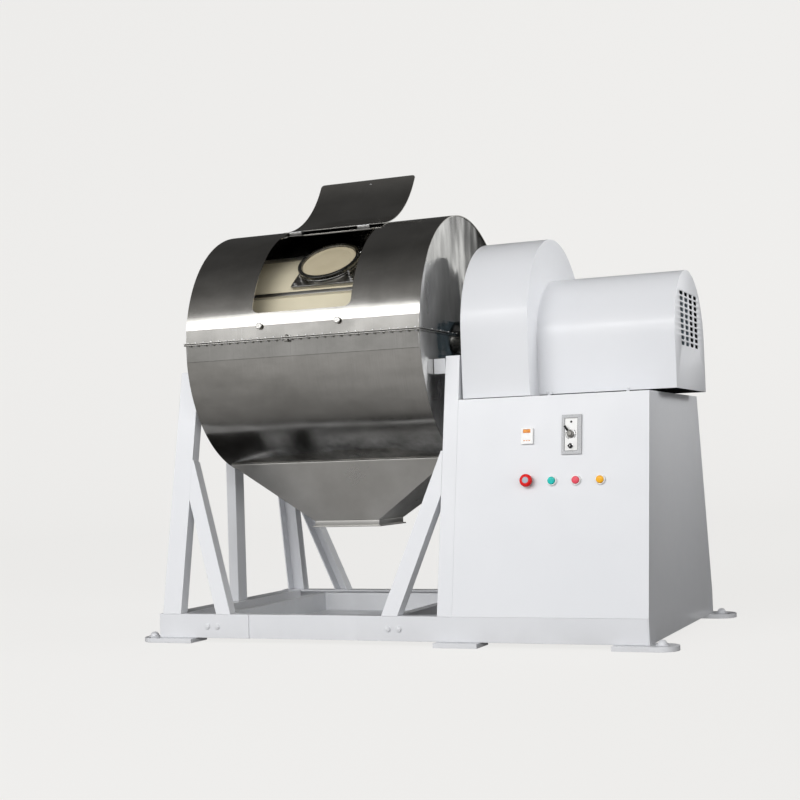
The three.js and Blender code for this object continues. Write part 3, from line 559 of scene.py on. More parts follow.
def facing(axis, at):
    """A matrix whose own Z points along an axis of the frame."""
    columns = {
        "+X": ((0, 1, 0), (0, 0, 1), (1, 0, 0)),
        "-Y": ((1, 0, 0), (0, 0, 1), (0, -1, 0)),
        "+Y": ((-1, 0, 0), (0, 0, 1), (0, 1, 0)),
        "+Z": ((1, 0, 0), (0, 1, 0), (0, 0, 1)),
        "-Z": ((1, 0, 0), (0, -1, 0), (0, 0, -1)),
    }[axis]
    made = Matrix(columns).transposed().to_4x4()
    made.translation = Vector(at)
    return made


def radial(x, angle, distance):
    """A matrix on the drum's side: Z outwards, Y up round the drum, X along it."""
    y, z = around(distance, angle)
    turn = Matrix.Rotation(radians(90 - angle), 4, "X")
    turn.translation = Vector((x, y, z))
    return turn


def arc_points(radius, start, end, step, rise=0.0):
    angles = [radians(a) for a in spread(start, end, step)]
    return [(radius * math.cos(a), rise + radius * math.sin(a)) for a in angles]


# ---- casing ----
CASE_X = (mx(0.105), mx(0.924))
OPENING_X = (mx(0.344), mx(0.691))
SPLIT_ANGLE = math.degrees(math.asin((SPLIT_Z - AXIS_Z) / CASING_R))
LIP_REACH = CASING_R + 0.016


def casing_rows(bm, angles, row_at):
    rows = []
    for angle in tidy_angles(angles):
        y, z = around(CASING_R, angle)
        rows.append([(x, y, z) for x in row_at(angle)])
    rows_to_faces(bm, rows)


def opening_row(angle):
    if OPENING[0] - 1e-6 <= angle <= OPENING[1] + 1e-6:
        ends = min(angle - OPENING[0], OPENING[1] - angle)
        back = inset(radians(ends) * CASING_R, OPENING_CORNER)
        return [CASE_X[0], OPENING_X[0] + back, OPENING_X[1] - back, CASE_X[1]]
    return list(CASE_X)


upper_angles = [SPLIT_ANGLE, 180 - SPLIT_ANGLE]
upper_angles += spread(CREASE_ANGLE, 180 - CREASE_ANGLE, 1.5)
upper_angles += [OPENING[0], OPENING[1], *corner_angles(*OPENING, CASING_R, OPENING_CORNER)]


@piece("casing_shell_upper", CASING, sharp=3.6)
def upper(bm):
    casing_rows(bm, upper_angles, opening_row)


thicken(upper, SHEET, 0.0007)
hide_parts("casing_upper")

HOPPER_X = mx(0.5145)
MOUTH_HALF = (0.3915, 0.1485)
MOUTH_ANGLE = math.degrees(math.acos(MOUTH_HALF[1] / CASING_R))
LOWER_SPLIT = math.degrees(math.asin((SPLIT_Z - 0.0003 - AXIS_Z) / CASING_R))


def lower_row(angle):
    if -180 + MOUTH_ANGLE - 1e-6 <= angle <= -MOUTH_ANGLE + 1e-6:
        return [CASE_X[0], HOPPER_X - MOUTH_HALF[0], HOPPER_X + MOUTH_HALF[0], CASE_X[1]]
    return list(CASE_X)


lower_angles = [LOWER_SPLIT, -180 - LOWER_SPLIT]
lower_angles += spread(LOWER_CREASE, -180 - LOWER_CREASE, 1.5)
lower_angles += [-MOUTH_ANGLE, -180 + MOUTH_ANGLE]


@piece("casing_shell_lower", CASING, sharp=3.0)
def lower(bm):
    casing_rows(bm, lower_angles, lower_row)


thicken(lower, SHEET, 0.0007)
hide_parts("casing_lower")

SHAFT_HOLE = 0.048
for word, sign in (("upper", 1), ("lower", -1)):
    edge = SPLIT_Z - AXIS_Z + (0.0001 if sign > 0 else -0.0004)
    low = math.degrees(math.asin(edge / CASING_R))
    start, end = (low, 180 - low) if sign > 0 else (180 - low, 360 + low)
    rim = arc_points(CASING_R - 0.0006, start, end, 2.0)
    hole_low = math.degrees(math.asin(edge / SHAFT_HOLE))
    start, end = (180 - hole_low, hole_low) if sign > 0 else (360 + hole_low, 180 - hole_low)
    bore = arc_points(SHAFT_HOLE, start, end, 6.0)
    for side, x in (("left", CASE_X[0] + 0.003), ("right", CASE_X[1] - 0.003)):
        name = f"casing_end_{word}_{side}"
        place = facing("+X", (x, 0, AXIS_Z))
        cut_plate(name, rim + bore, [], SHEET, 0.0004, place, MIRROR, slot="casing_steel")


def rectangle(x0, x1, y0, y1, corner=0.0, steps=4):
    if corner <= 0:
        return [(x0, y0), (x1, y0), (x1, y1), (x0, y1)]
    found = []
    centres = ((x1, y0, -1, 1, -90), (x1, y1, -1, -1, 0), (x0, y1, 1, -1, 90), (x0, y0, 1, 1, 180))
    for cx, cy, sx, sy, start in centres:
        for a in spread(start, start + 90, 90 / steps):
            px = cx + sx * corner + corner * math.cos(radians(a))
            py = cy + sy * corner + corner * math.sin(radians(a))
            found.append((px, py))
    return found


# The split flange: two lips with a gasket between them, bolted on three sides.
LIP_X = (CASE_X[0] - 0.001, CASE_X[1] + 0.008)
LIP_BOTTOM, LIP_TOP = SPLIT_Z - 0.0043, SPLIT_Z + 0.004
inner_lip = rectangle(CASE_X[0] + 0.002, CASE_X[1] - 0.002, -CASING_R + 0.002, CASING_R - 0.002)
for name, z0, z1, finish, shrink in (
    ("flange_lip_upper", SPLIT_Z + 0.001, LIP_TOP, CASING, 0.0),
    ("flange_lip_lower", LIP_BOTTOM, SPLIT_Z - 0.0013, CASING, 0.0),
    ("flange_gasket", SPLIT_Z - 0.0014, SPLIT_Z + 0.0011, RUBBER_AND_SHADE_BLACK, 0.0012),
):
    reach = LIP_REACH - shrink
    ring = rectangle(LIP_X[0] + shrink, LIP_X[1] - shrink, -reach, reach, 0.006)
    place = facing("+Z", (0, 0, (z0 + z1) / 2))
    cut_plate(name, ring, [inner_lip], z1 - z0, 0.0006, place, finish, slot="casing_steel")

FLANGE_BOLTS = 29  # along each side
END_BOLTS = 12  # across the right end
FLANGE_BOLT = (0.006, 0.0036)
CLAMP_BOLT_X = mx(0.476)


@piece("flange_bolts", CHROME)
def flange_bolts(bm):
    row_y = LIP_REACH - 0.0065
    for i in range(FLANGE_BOLTS):
        x = LIP_X[0] + 0.016 + (LIP_X[1] - LIP_X[0] - 0.032) * i / (FLANGE_BOLTS - 1)
        for sign in (-1, 1):
            bolt(bm, facing("+Z", (x, sign * row_y, LIP_TOP)), *FLANGE_BOLT, 0.0042)
            bolt(bm, facing("-Z", (x, sign * row_y, LIP_BOTTOM)), *FLANGE_BOLT, 0.0042)
    for i in range(END_BOLTS):
        y = -row_y + 2 * row_y * (i + 0.5) / END_BOLTS
        bolt(bm, facing("+Z", (LIP_X[1] - 0.0045, y, LIP_TOP)), *FLANGE_BOLT, 0.004)


@piece("flange_clamp_bolt", DULL)
def clamp_bolt(bm):
    for sign in (-1, 1):
        y = sign * (LIP_REACH - 0.005)
        low = (CLAMP_BOLT_X - 0.006, y - 0.003, LIP_BOTTOM - 0.008)
        high = (CLAMP_BOLT_X + 0.006, y + 0.003, LIP_BOTTOM)
        block(bm, low, high)
        y = sign * (LIP_REACH - 0.008)
        bolt(bm, facing("+Z", (CLAMP_BOLT_X, y, LIP_TOP)), 0.0095, 0.007, 0.0065)


# Weld seam where the lower skirt meets the curved belly.
@piece("belly_weld_seams", CASING)
def belly_seam(bm):
    for angle in (LOWER_CREASE, -180 - LOWER_CREASE):
        y, z = around(CASING_R - 0.0003, angle)
        bead(bm, [(CASE_X[0] + 0.002, y, z), (CASE_X[1] - 0.002, y, z)], 0.0011)


# ---- discharge hopper ----
HOPPER_TOP, HOPPER_BOTTOM = 0.562, 0.367
TOP_HALF, BOTTOM_HALF = (0.3975, 0.1545), (0.1175, 0.1)
COLLAR_LOW = HOPPER_BOTTOM - 0.024
COLLAR_WALL = 0.0045


def flank_x(z):
    share = (z - HOPPER_BOTTOM) / (HOPPER_TOP - HOPPER_BOTTOM)
    return BOTTOM_HALF[0] + (TOP_HALF[0] - BOTTOM_HALF[0]) * share


def belly_line(sign):
    """Where a hopper flank meets the casing's underside, from front to rear."""
    found = []
    for y in spread(-TOP_HALF[1], TOP_HALF[1], 0.01):
        z = AXIS_Z - math.sqrt(CASING_R**2 - y * y)
        found.append(Vector((HOPPER_X + sign * flank_x(z), y, z)))
    return found


@piece("hopper_shell", HOPPER_STEEL, sharp=20)
def hopper(bm):
    lines = {}
    for sign in (-1, 1):
        lines[sign] = [bm.verts.new(p) for p in belly_line(sign)]
    feet = {}
    for sign in (-1, 1):
        for end in (-1, 1):
            spot = (HOPPER_X + sign * BOTTOM_HALF[0], end * BOTTOM_HALF[1], HOPPER_BOTTOM)
            feet[sign, end] = bm.verts.new(spot)
    bm.faces.new((feet[-1, -1], feet[1, -1], lines[1][0], lines[-1][0]))
    bm.faces.new((feet[1, 1], feet[-1, 1], lines[-1][-1], lines[1][-1]))
    bm.faces.new([feet[1, -1], feet[1, 1], *lines[1][::-1]])
    bm.faces.new([feet[-1, 1], feet[-1, -1], *lines[-1]])


thicken(hopper, SHEET, 0.0022, 3, 25)
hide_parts("discharge_hopper")

for name, grow, z0, z1 in (
    ("hopper_collar", 0.0, COLLAR_LOW, HOPPER_BOTTOM + 0.001),
    ("hopper_collar_lip", 0.007, COLLAR_LOW, COLLAR_LOW + 0.004),
):
    outer, hole = [
        rectangle(-x, x, -y, y, 0.002)
        for x, y in ((BOTTOM_HALF[0] + g, BOTTOM_HALF[1] + g) for g in (grow, -COLLAR_WALL))
    ]
    place = facing("+Z", (HOPPER_X, 0, (z0 + z1) / 2))
    cut_plate(name, outer, [hole], z1 - z0, 0.0006, place, HOPPER_STEEL, slot="casing_steel")


@piece("hopper_weld_seams", WELD)
def hopper_welds(bm):
    for sign in (-1, 1):
        bead(bm, belly_line(sign), 0.0016)
    for end in (-1, 1):
        for half, y, z, size in (
            (TOP_HALF[0], TOP_HALF[1], HOPPER_TOP, 0.0014),
            (BOTTOM_HALF[0], BOTTOM_HALF[1] + 0.0004, HOPPER_BOTTOM + 0.0005, 0.0011),
        ):
            bead(bm, [(HOPPER_X - half, end * y, z), (HOPPER_X + half, end * y, z)], size)


# ---- access door, thrown back on its hinges ----
hinge_y, hinge_z = around(HINGE_R, HINGE_ANGLE)
HINGE = Vector((0, hinge_y, hinge_z))
swing = Matrix.Translation(HINGE) @ Matrix.Rotation(-radians(DOOR_OPEN), 4, "X")
swing = swing @ Matrix.Translation(-HINGE)
DOOR_X = (mx(0.337), mx(0.697))


@piece("access_door_sheet", CASING, "door", sharp=20)
def door(bm):
    angles = spread(*DOOR_ANGLES, 1.5) + corner_angles(*DOOR_ANGLES, DOOR_OUTER, DOOR_CORNER)
    rows = []
    for angle in tidy_angles(angles):
        ends = min(angle - DOOR_ANGLES[0], DOOR_ANGLES[1] - angle)
        back = inset(radians(ends) * DOOR_OUTER, DOOR_CORNER)
        y, z = around(DOOR_OUTER, angle)
        rows.append([(DOOR_X[0] + back, y, z), (DOOR_X[1] - back, y, z)])
    rows_to_faces(bm, rows)


thicken(door, DOOR_SHEET, 0.0005)
door.data.transform(swing)
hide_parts("access_door")


@piece("door_hinge_knuckles", CHROME, "door")
def knuckles(bm):
    for centre in HINGE_CENTRES:
        for side in (-1, 1):
            outer, inner = HINGE_LENGTH / 2, HINGE_LENGTH / 2 - KNUCKLE
            ends = sorted((centre + side * outer, centre + side * inner))
            profile = turned(0.005, mx(ends[0]), mx(ends[1]), 0.0005)
            lathe(bm, profile, facing("+X", (0, hinge_y, hinge_z)), 20)
            place = radial(mx(sum(ends) / 2), HINGE_ANGLE, 0.412)
            block(bm, (-0.007, -0.02, 0.0), (0.007, -0.001, 0.003), place, 0.0004)
            for step in (-0.011, -0.017):
                dome(bm, place @ Matrix.Translation((0, step, 0.003)), 0.0022, 0.001, 12)


knuckles.data.transform(swing)


@piece("door_grip_stud", CHROME, "door")
def stud(bm):
    stud = radial(mx(0.533), DOOR_ANGLES[0] + 2.6, 0.412)
    dome(bm, stud @ Matrix.Rotation(math.pi, 4, "X"), 0.0035, 0.0015, 16)
    lathe(bm, turned(0.0065, 0.0026, 0.006, 0.0008), stud, 20)


stud.data.transform(swing)

# ---- turn catches ----
for word, x in zip(("left", "right"), CATCH_CENTRES):

    @piece(f"turn_catch_{word}", HOPPER_STEEL, f"{word}_catch")
    def catch(bm):
        place = radial(mx(x), CATCH_ANGLE, CASING_R)
        lathe(bm, turned(0.004, 0.0003, 0.0075, 0.0004), place, 16)
        disc = place @ Matrix.Translation((0, -0.005, 0))
        rim = [
            (0.0, 0.0064), (0.0098, 0.0064), (0.0105, 0.007), (0.0105, 0.0094),
            (0.0099, 0.0101), (0.0088, 0.0104), (0.0082, 0.0098), (0.0, 0.0098),
        ]
        lathe(bm, rim, disc, 32)
        for turn in (0.35, 0.35 + math.pi / 2):
            bar = disc @ Matrix.Rotation(turn, 4, "Z")
            block(bm, (-0.007, -0.0009, 0.009), (0.007, 0.0009, 0.0104), bar, 0.0003)

    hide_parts(f"door_catch_{word}")

    @piece(f"turn_catch_seat_{word}", DULL)
    def catch_seat(bm):
        place = radial(mx(x), CATCH_ANGLE, CASING_R)
        lathe(bm, turned(0.0062, -0.0004, 0.0014, 0.0005), place, 24)

# ---- drum ----
DRUM_X = (mx(0.15), mx(0.879))
NECK_BORE = 0.08
hole_half = math.degrees(math.asin(NECK_BORE / DRUM_R))
hole_span = (MANHOLE_ANGLE - hole_half, MANHOLE_ANGLE + hole_half)


@piece("drum_shell_lined", DRUM_CREAM_LIT, "drum", sharp=20)
def drum(bm):
    angles = spread(-180, 180, 2.0)[:-1]
    angles = [a for a in angles if not hole_span[0] - 0.8 < a < hole_span[1] + 0.8]
    angles += [MANHOLE_ANGLE + hole_half * math.sin(math.pi / 2 * i / 12) for i in range(-12, 13)]
    rows = []
    for angle in sorted(angles):
        y, z = around(DRUM_R, angle)
        xs = list(DRUM_X)
        if hole_span[0] - 1e-6 <= angle <= hole_span[1] + 1e-6:
            off = DRUM_R * math.sin(radians(angle - MANHOLE_ANGLE))
            half = math.sqrt(max(1e-8, NECK_BORE**2 - off**2))
            xs = [DRUM_X[0], mx(MANHOLE_X) - half, mx(MANHOLE_X) + half, DRUM_X[1]]
        rows.append([(px, y, z) for px in xs])
    lines = rows_to_faces(bm, rows)
    bm.faces.new(lines[-1][::-1] + lines[0])


thicken(drum, DRUM_WALL, 0.0008)
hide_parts("drum_shell")


@piece("drum_stiffening_bars", HOPPER_STEEL, "drum")
def bars(bm):
    for i in range(BAR_COUNT):
        place = radial(0, BAR_FIRST + 360 / BAR_COUNT * i, DRUM_R)
        block(bm, (DRUM_X[0], -0.007, -0.004), (DRUM_X[1], 0.007, 0.012), place, 0.001)


@piece("drum_weld_seams", DRUM_CREAM_LIT, "drum")
def drum_seams(bm):
    for angle in (13.0, 103.0, 193.0, 283.0):
        y, z = around(DRUM_R - 0.0006, angle)
        bead(bm, [(DRUM_X[0] + 0.004, y, z), (DRUM_X[1] - 0.004, y, z)], 0.0016)


# ---- manhole ----
HUB = radial(mx(MANHOLE_X), MANHOLE_ANGLE, 0.0)
HUB.translation = Vector((mx(MANHOLE_X), 0, AXIS_Z))
SADDLE = (0.115, 0.095)


@piece("manhole_saddle_skirt", HOPPER_STEEL, "drum")
def skirt(bm):
    half_x, half_t = SADDLE[0] - 0.005, SADDLE[1] - 0.005
    line = spread(-half_t, half_t, 0.008)
    section = [(t, math.sqrt((DRUM_R + 0.0003) ** 2 - t * t)) for t in line]
    section += [(half_t, 0.308), (-half_t, 0.308)]
    ends = []
    for x in (-half_x, half_x):
        ends.append([bm.verts.new(HUB @ Vector((x, t, n))) for t, n in section])
    bm.faces.new(ends[0])
    bm.faces.new(ends[1][::-1])
    for i in range(len(section)):
        j = (i + 1) % len(section)
        bm.faces.new((ends[0][i], ends[1][i], ends[1][j], ends[0][j]))


thicken(skirt, 0, 0.001)
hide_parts("manhole_saddle")

circle = arc_points(0.0795, 0, 354, 6)
outline = rectangle(-SADDLE[0], SADDLE[0], -SADDLE[1], SADDLE[1], 0.006)
place = HUB @ Matrix.Translation((0, 0, 0.3115))
finish = (HOPPER_STEEL, "drum", "casing_steel")
cut_plate("manhole_saddle_plate", outline, [circle], 0.007, 0.001, place, *finish)


@piece("manhole_neck", HOPPER_STEEL, "drum")
def neck(bm):
    profile = [
        (0.08, 0.296), (0.08, 0.3282), (0.0808, 0.329), (0.0972, 0.329),
        (0.098, 0.3282), (0.098, 0.3245), (0.09, 0.3235), (0.089, 0.3225),
        (0.089, 0.3165), (0.0925, 0.314), (0.0925, 0.312), (0.086, 0.296),
    ]
    profile.append(profile[0])
    lathe(bm, profile, HUB, 72)


@piece("manhole_swing_bolts", CHROME, "drum")
def saddle_hardware(bm):
    for sx in (-1, 1):
        for st in (-1, 1):
            place = HUB @ Matrix.Translation((sx * 0.102, st * 0.082, 0.315))
            bolt(bm, place, 0.01, 0.0062, 0.0075)
    for angle in (40, 140, 220, 320):
        spot = (0.1135 * math.cos(radians(angle)), 0.1135 * math.sin(radians(angle)) * 0.8, 0.315)
        place = HUB @ Matrix.Translation(spot) @ Matrix.Rotation(radians(angle), 4, "Z")
        block(bm, (-0.005, -0.007, 0.0), (0.005, 0.007, 0.007), place, 0.0008)
        lathe(bm, turned(0.0026, 0.006, 0.0225, 0.0006), place, 12)
        bolt(bm, place @ Matrix.Translation((0, 0, 0.013)), 0.009, 0.007, 0.0058)


@piece("manhole_clamp_ring", DARK_RING, "manhole_cover")
def ring(bm):
    profile = [
        (0.0926, 0.3293), (0.1045, 0.3293), (0.106, 0.3305), (0.106, 0.334),
        (0.1052, 0.3352), (0.104, 0.336), (0.104, 0.342), (0.1055, 0.3432),
        (0.1058, 0.3462), (0.1046, 0.3484), (0.102, 0.349), (0.0958, 0.349),
        (0.0934, 0.348), (0.0926, 0.346), (0.0926, 0.3293),
    ]
    lathe(bm, profile, HUB, 96)


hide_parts("manhole_ring")


@piece("manhole_lid_lined", LID_CREAM_SHADED, "manhole_cover")
def lid(bm):
    profile = [
        (0.0, 0.3293), (0.0905, 0.3293), (0.0919, 0.3303), (0.0919, 0.3405),
        (0.0905, 0.3424), (0.088, 0.343), (0.078, 0.3431), (0.0762, 0.3427),
        (0.074, 0.3427), (0.072, 0.3431), (0.04, 0.3433), (0.0, 0.3434),
    ]
    lathe(bm, profile, HUB, 96)


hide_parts("manhole_lid")

# ---- guard over the coupling, cover over the motor ----
GUARD_X = (mx(1.015), mx(1.231))
COVER_X = (mx(1.2313), mx(1.655))
PEDESTAL_TOP = 0.733
COVER_FOOT = PEDESTAL_TOP + 0.008


def arch_path(radius, centre_z, floor_z):
    return [(-radius, floor_z), *arc_points(radius, 180, 0, 2.0, centre_z), (radius, floor_z)]


def arch_shell(bm, path, xs, closed):
    lines = rows_to_faces(bm, [[(xs[0], y, z), (xs[1], y, z)] for y, z in path])
    for end in closed:
        bm.faces.new([line[end] for line in lines])


guard_path = arch_path(GUARD_R, AXIS_Z, PEDESTAL_TOP + 0.003)


@piece("coupling_guard_shell", WHITE, sharp=20)
def guard(bm):
    arch_shell(bm, guard_path, GUARD_X, (0, 1))


# the guard's inside faces take the near-black rubber finish: painted shade inside the sheet
thicken(guard, SHEET, 0.0016, 3, inner=RUBBER_AND_SHADE_BLACK)
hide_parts("coupling_guard")

cover_path = arch_path(COVER_R, COVER_Z, COVER_FOOT)


@piece("motor_cover_shell", WHITE, sharp=20)
def cover(bm):
    arch_shell(bm, cover_path, (COVER_X[0], COVER_X[1] - 0.0022), ())


# the cover's inside faces take the near-black rubber finish: painted shade seen through the vent
# slots
thicken(cover, SHEET, 0.001, 2, inner=RUBBER_AND_SHADE_BLACK)
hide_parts("motor_cover")

VENTS = (4, 10)
VENT_PITCH = (0.065, 0.017)
VENT_SIZE = (0.047, 0.0115)
VENT_Z = 0.956
slots = []
for column in range(VENTS[0]):
    for line in range(VENTS[1]):
        y = (column - (VENTS[0] - 1) / 2) * VENT_PITCH[0]
        z = VENT_Z + (line - (VENTS[1] - 1) / 2) * VENT_PITCH[1] - AXIS_Z
        half = (VENT_SIZE[0] / 2, VENT_SIZE[1] / 2)
        slots.append(rectangle(y - half[0], y + half[0], z - half[1], z + half[1], 0.0056))
outline = [(y, z - AXIS_Z) for y, z in cover_path]
place = facing("+X", (COVER_X[1] - SHEET / 2, 0, AXIS_Z))
cut_plate("motor_cover_end", outline, slots, SHEET, 0.0008, place, WHITE, slot="frame_paint")


@piece("cover_weld_seam", WHITE)
def cover_collar(bm):
    path = arch_path(COVER_R + 0.0016, COVER_Z, COVER_FOOT)
    bead(bm, [(COVER_X[0] + 0.0004, y, z) for y, z in path], 0.0022, step=0.006)


@piece("cover_fixings", WHITE)
def cover_fixings(bm):
    for sign in (-1, 1):
        way = "-Y" if sign < 0 else "+Y"
        for x in (1.256, 1.274, 1.51):
            dome(bm, facing(way, (mx(x), sign * COVER_R, 0.7475)), 0.0042, 0.0028, 16)
        for x, half in ((1.265, 0.016), (1.51, 0.013)):
            y = sign * (COVER_R + 0.01)
            low, high = PEDESTAL_TOP + 0.0002, PEDESTAL_TOP + 0.0035
            block(bm, (mx(x) - half, y - 0.01, low), (mx(x) + half, y + 0.01, high))
            spot = (mx(x), sign * (COVER_R + 0.011), high)
            dome(bm, facing("+Z", spot), 0.006, 0.005, 16)


# ---- frame details ----
@piece("anchor_bolt_caps", WHITE)
def anchor_domes(bm):
    for x in (mx(-0.032), mx(1.632)):
        for sign in (-1, 1):
            y = sign * 0.425
            lathe(bm, turned(0.019, 0.014, 0.0168, 0.0008), facing("+Z", (x, y, 0)), 28)
            dome(bm, facing("+Z", (x, y, 0.0168)), 0.0138, 0.0125, 28)


@piece("splice_bolt_caps", WHITE)
def splice_caps(bm):
    for x in (0.177, 0.213, 0.802, 0.838):
        for sign, way in ((-1, "-Y"), (1, "+Y")):
            spot = facing(way, (mx(x), sign * BASE_HALF_WIDTH, 0.05))
            lathe(bm, turned(0.01, -0.0002, 0.0012, 0.0004), spot, 24)
            dome(bm, spot @ Matrix.Translation((0, 0, 0.0012)), 0.0084, 0.0052, 24)


@piece("frame_weld_seams", WHITE)
def frame_welds(bm):
    for sign in (-1, 1):
        y = sign * (BASE_HALF_WIDTH + 0.0002)
        for x0, x1 in ((0.013, 0.0796), (0.2095, 0.2604), (0.781, 0.8338), (0.962, 1.0097)):
            bead(bm, [(mx(x0), y, RAIL_TOP), (mx(x1), y, RAIL_TOP)], 0.0016)
        bead(bm, [(mx(1.0105), y, RAIL_TOP + 0.0002), (mx(1.5965), y, RAIL_TOP + 0.0002)], 0.0009)


# ---- operator panel ----
PANEL = Matrix.Translation((0, -BASE_HALF_WIDTH, RAIL_TOP)) @ Matrix.Rotation(LEAN, 4, "X")
# places on the panel, across and up it
DISPLAY = (1.23335, 0.5472)
KEYS = (1.2262, 0.5187)
PLATE_CENTRE = (1.3688, 0.533)
SELECTOR = (1.368, 0.5337)
LOCK = (1.368, 0.4981)
ESTOP = (1.2365, 0.398)
BUTTONS_UP = 0.397


def on_panel(x, y, z=0.0, turn=None):
    place = PANEL @ Matrix.Translation((mx(x), y, z))
    return place if turn is None else place @ Matrix.Rotation(radians(turn), 4, "Z")


@piece("meter_display", ORANGE)
def display(bm):
    place = on_panel(*DISPLAY, 0.0071)
    block(bm, (-0.0116, -0.0054, 0.0), (0.0116, 0.0054, 0.0012), place, 0.0003)


@piece("meter_keys", ORANGE)
def meter_keys(bm):
    for i in range(3):
        place = on_panel(KEYS[0] + 0.0078 * i, KEYS[1], 0.009)
        block(bm, (-0.0024, -0.0012, -0.001), (0.0024, 0.0012, 0.0009), place, 0.0003)


@piece("meter_display_frame", SLATE)
def display_frame(bm):
    for low, high in (
        ((-0.013, 0.0056, 0.0), (0.013, 0.0072, 0.0014)),
        ((-0.013, -0.0072, 0.0), (0.013, -0.0056, 0.0014)),
        ((-0.013, -0.0056, 0.0), (-0.0118, 0.0056, 0.0014)),
        ((0.0118, -0.0056, 0.0), (0.013, 0.0056, 0.0014)),
    ):
        block(bm, low, high, on_panel(*DISPLAY, 0.0071), 0.0003)


@piece("switch_plate_outline", BLACK)
def plate_outline(bm):
    place = on_panel(*PLATE_CENTRE, 0.0028)
    block(bm, (-0.0206, -0.0496, 0.0), (0.0206, 0.0496, 0.0012), place, 0.0003)


@piece("switch_plate_insert", METER)
def plate_insert(bm):
    place = on_panel(*PLATE_CENTRE, 0.003)
    block(bm, (-0.019, -0.048, 0.0), (0.019, 0.048, 0.0018), place, 0.0004)


@piece("selector_marks", BLACK)
def plate_marks(bm):
    for angle in (-35, -10, 15, 40, 165, 190, 215, 240):
        place = on_panel(*SELECTOR, 0.0048, angle)
        block(bm, (0.0142, -0.0026, 0.0), (0.0158, 0.0026, 0.0004), place, 0.0001)
    lathe(bm, turned(0.0033, 0.0, 0.0012, 0.0003), on_panel(1.369, 0.5705, 0.0048), 20)


@piece("switch_plate_trim", CHROME)
def plate_screws(bm):
    lathe(bm, turned(0.013, 0.0046, 0.0062, 0.0006, 0.0112), on_panel(*SELECTOR), 40)
    lathe(bm, turned(0.008, 0.0046, 0.0066, 0.0006, 0.0052), on_panel(*LOCK), 32)


SELECTOR_REST = 35.0  # degrees
LOCK_REST = 45.0


@piece("selector_lever", DULL, "selector")
def selector(bm):
    place = on_panel(*SELECTOR, turn=SELECTOR_REST)
    profile = [
        (0.0, 0.0052), (0.0108, 0.0052), (0.0108, 0.011), (0.0098, 0.0124),
        (0.0072, 0.013), (0.0068, 0.0205), (0.006, 0.0218), (0.0, 0.022),
    ]
    lathe(bm, profile, place, 40)
    block(bm, (-0.0024, 0.0, 0.0132), (0.0024, 0.029, 0.0178), place, 0.0009)


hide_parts("selector_knob")


@piece("selector_grip", BLACK, "selector")
def selector_grip(bm):
    place = on_panel(*SELECTOR, turn=SELECTOR_REST)
    block(bm, (-0.0032, 0.01, 0.0126), (0.0032, 0.0286, 0.0186), place, 0.0012)


@piece("key_lock_grip", BLACK, "key_lock")
def lock(bm):
    place = on_panel(*LOCK, turn=LOCK_REST)
    lathe(bm, turned(0.005, 0.0003, 0.006, 0.0004), place, 24)
    block(bm, (-0.006, -0.006, 0.0052), (0.006, 0.006, 0.013), place, 0.0011)


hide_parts("lock_knob")


@piece("key_lock_blade", CHROME, "key_lock")
def lock_slot(bm):
    place = on_panel(*LOCK, 0.0127)
    block(bm, (-0.0007, -0.0034, 0.0), (0.0007, 0.0034, 0.0005), place, 0.0002)


@piece("emergency_stop_head", RED, "emergency_stop")
def estop(bm):
    profile = [
        (0.0, 0.0053), (0.01, 0.0053), (0.01, 0.0132), (0.0178, 0.0134),
        (0.019, 0.0146), (0.0188, 0.0185), (0.018, 0.0222), (0.016, 0.024),
        (0.0125, 0.0247), (0.0108, 0.024), (0.0, 0.0238),
    ]
    lathe(bm, profile, on_panel(*ESTOP), 56)


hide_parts("estop_button")


@piece("emergency_stop_disc", SLATE, "emergency_stop")
def estop_centre(bm):
    dome(bm, on_panel(*ESTOP, 0.0237), 0.0098, 0.0012, 40)


@piece("emergency_stop_seat", DULL)
def estop_collar(bm):
    lathe(bm, turned(0.015, 0.0, 0.0032, 0.0008, 0.0104), on_panel(*ESTOP), 48)


CAPS = (
    ("start", 1.3115, GREEN, "green_plastic"),
    ("stop", 1.3845, PINK, "pink_plastic"),
    ("reset", 1.4575, AMBER, "amber_plastic"),
)
for word, x, finish, slot in CAPS:

    @piece(f"{word}_button_bezel", METER)
    def bezel(bm):
        profile = [
            (0.0114, 0.0002), (0.015, 0.0002), (0.015, 0.003), (0.0146, 0.0068),
            (0.0138, 0.008), (0.0124, 0.008), (0.0114, 0.007), (0.0114, 0.0002),
        ]
        lathe(bm, profile, on_panel(x, BUTTONS_UP), 48)

    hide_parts(f"{word}_bezel")

    @piece(f"{word}_button_cap", finish, f"{word}_push")
    def cap(bm):
        profile = [
            (0.0, 0.0033), (0.011, 0.0033), (0.0108, 0.0112), (0.0098, 0.0126),
            (0.006, 0.0131), (0.0, 0.0132),
        ]
        lathe(bm, profile, on_panel(x, BUTTONS_UP), 48)

    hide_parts(f"{word}_button")

# ---- finishes for the nodes that stay ----
KEPT = {
    WHITE: (
        "front_base_rail rear_base_rail left_end_rail foot_left_front foot_right_front "
        "foot_middle_front foot_left_rear foot_right_rear foot_middle_rear leg_left_front "
        "leg_right_front leg_left_rear leg_right_rear brace_left_front brace_right_front "
        "brace_left_rear brace_right_rear left_bearing_beam right_bearing_beam "
        "left_centre_post tray_rack pedestal_cabinet casing_bracket_left_front "
        "casing_bracket_right_front casing_bracket_left_rear casing_bracket_right_rear"
    ),
    TRAY: "drip_tray",
    CHROME: "door_hinge_left door_hinge_right",
    DARK_RING: "drum_end_left drum_end_right",
    CAST: (
        "left_bearing right_bearing shaft_coupling reducer_output_shaft gear_reducer drive_motor"
    ),
    METER: "panel_meter",
    PLATE: "switch_plate",
}
EASE = {"pedestal_cabinet": 0.003, "door_hinge_left": 0.0003, "door_hinge_right": 0.0003}
EASE.update({"panel_meter": 0.0012, "switch_plate": 0.0007, "drip_tray": 0.0006})
ROUND = {*KEPT[CAST].split(), *KEPT[DARK_RING].split(), *KEPT[CHROME].split()}
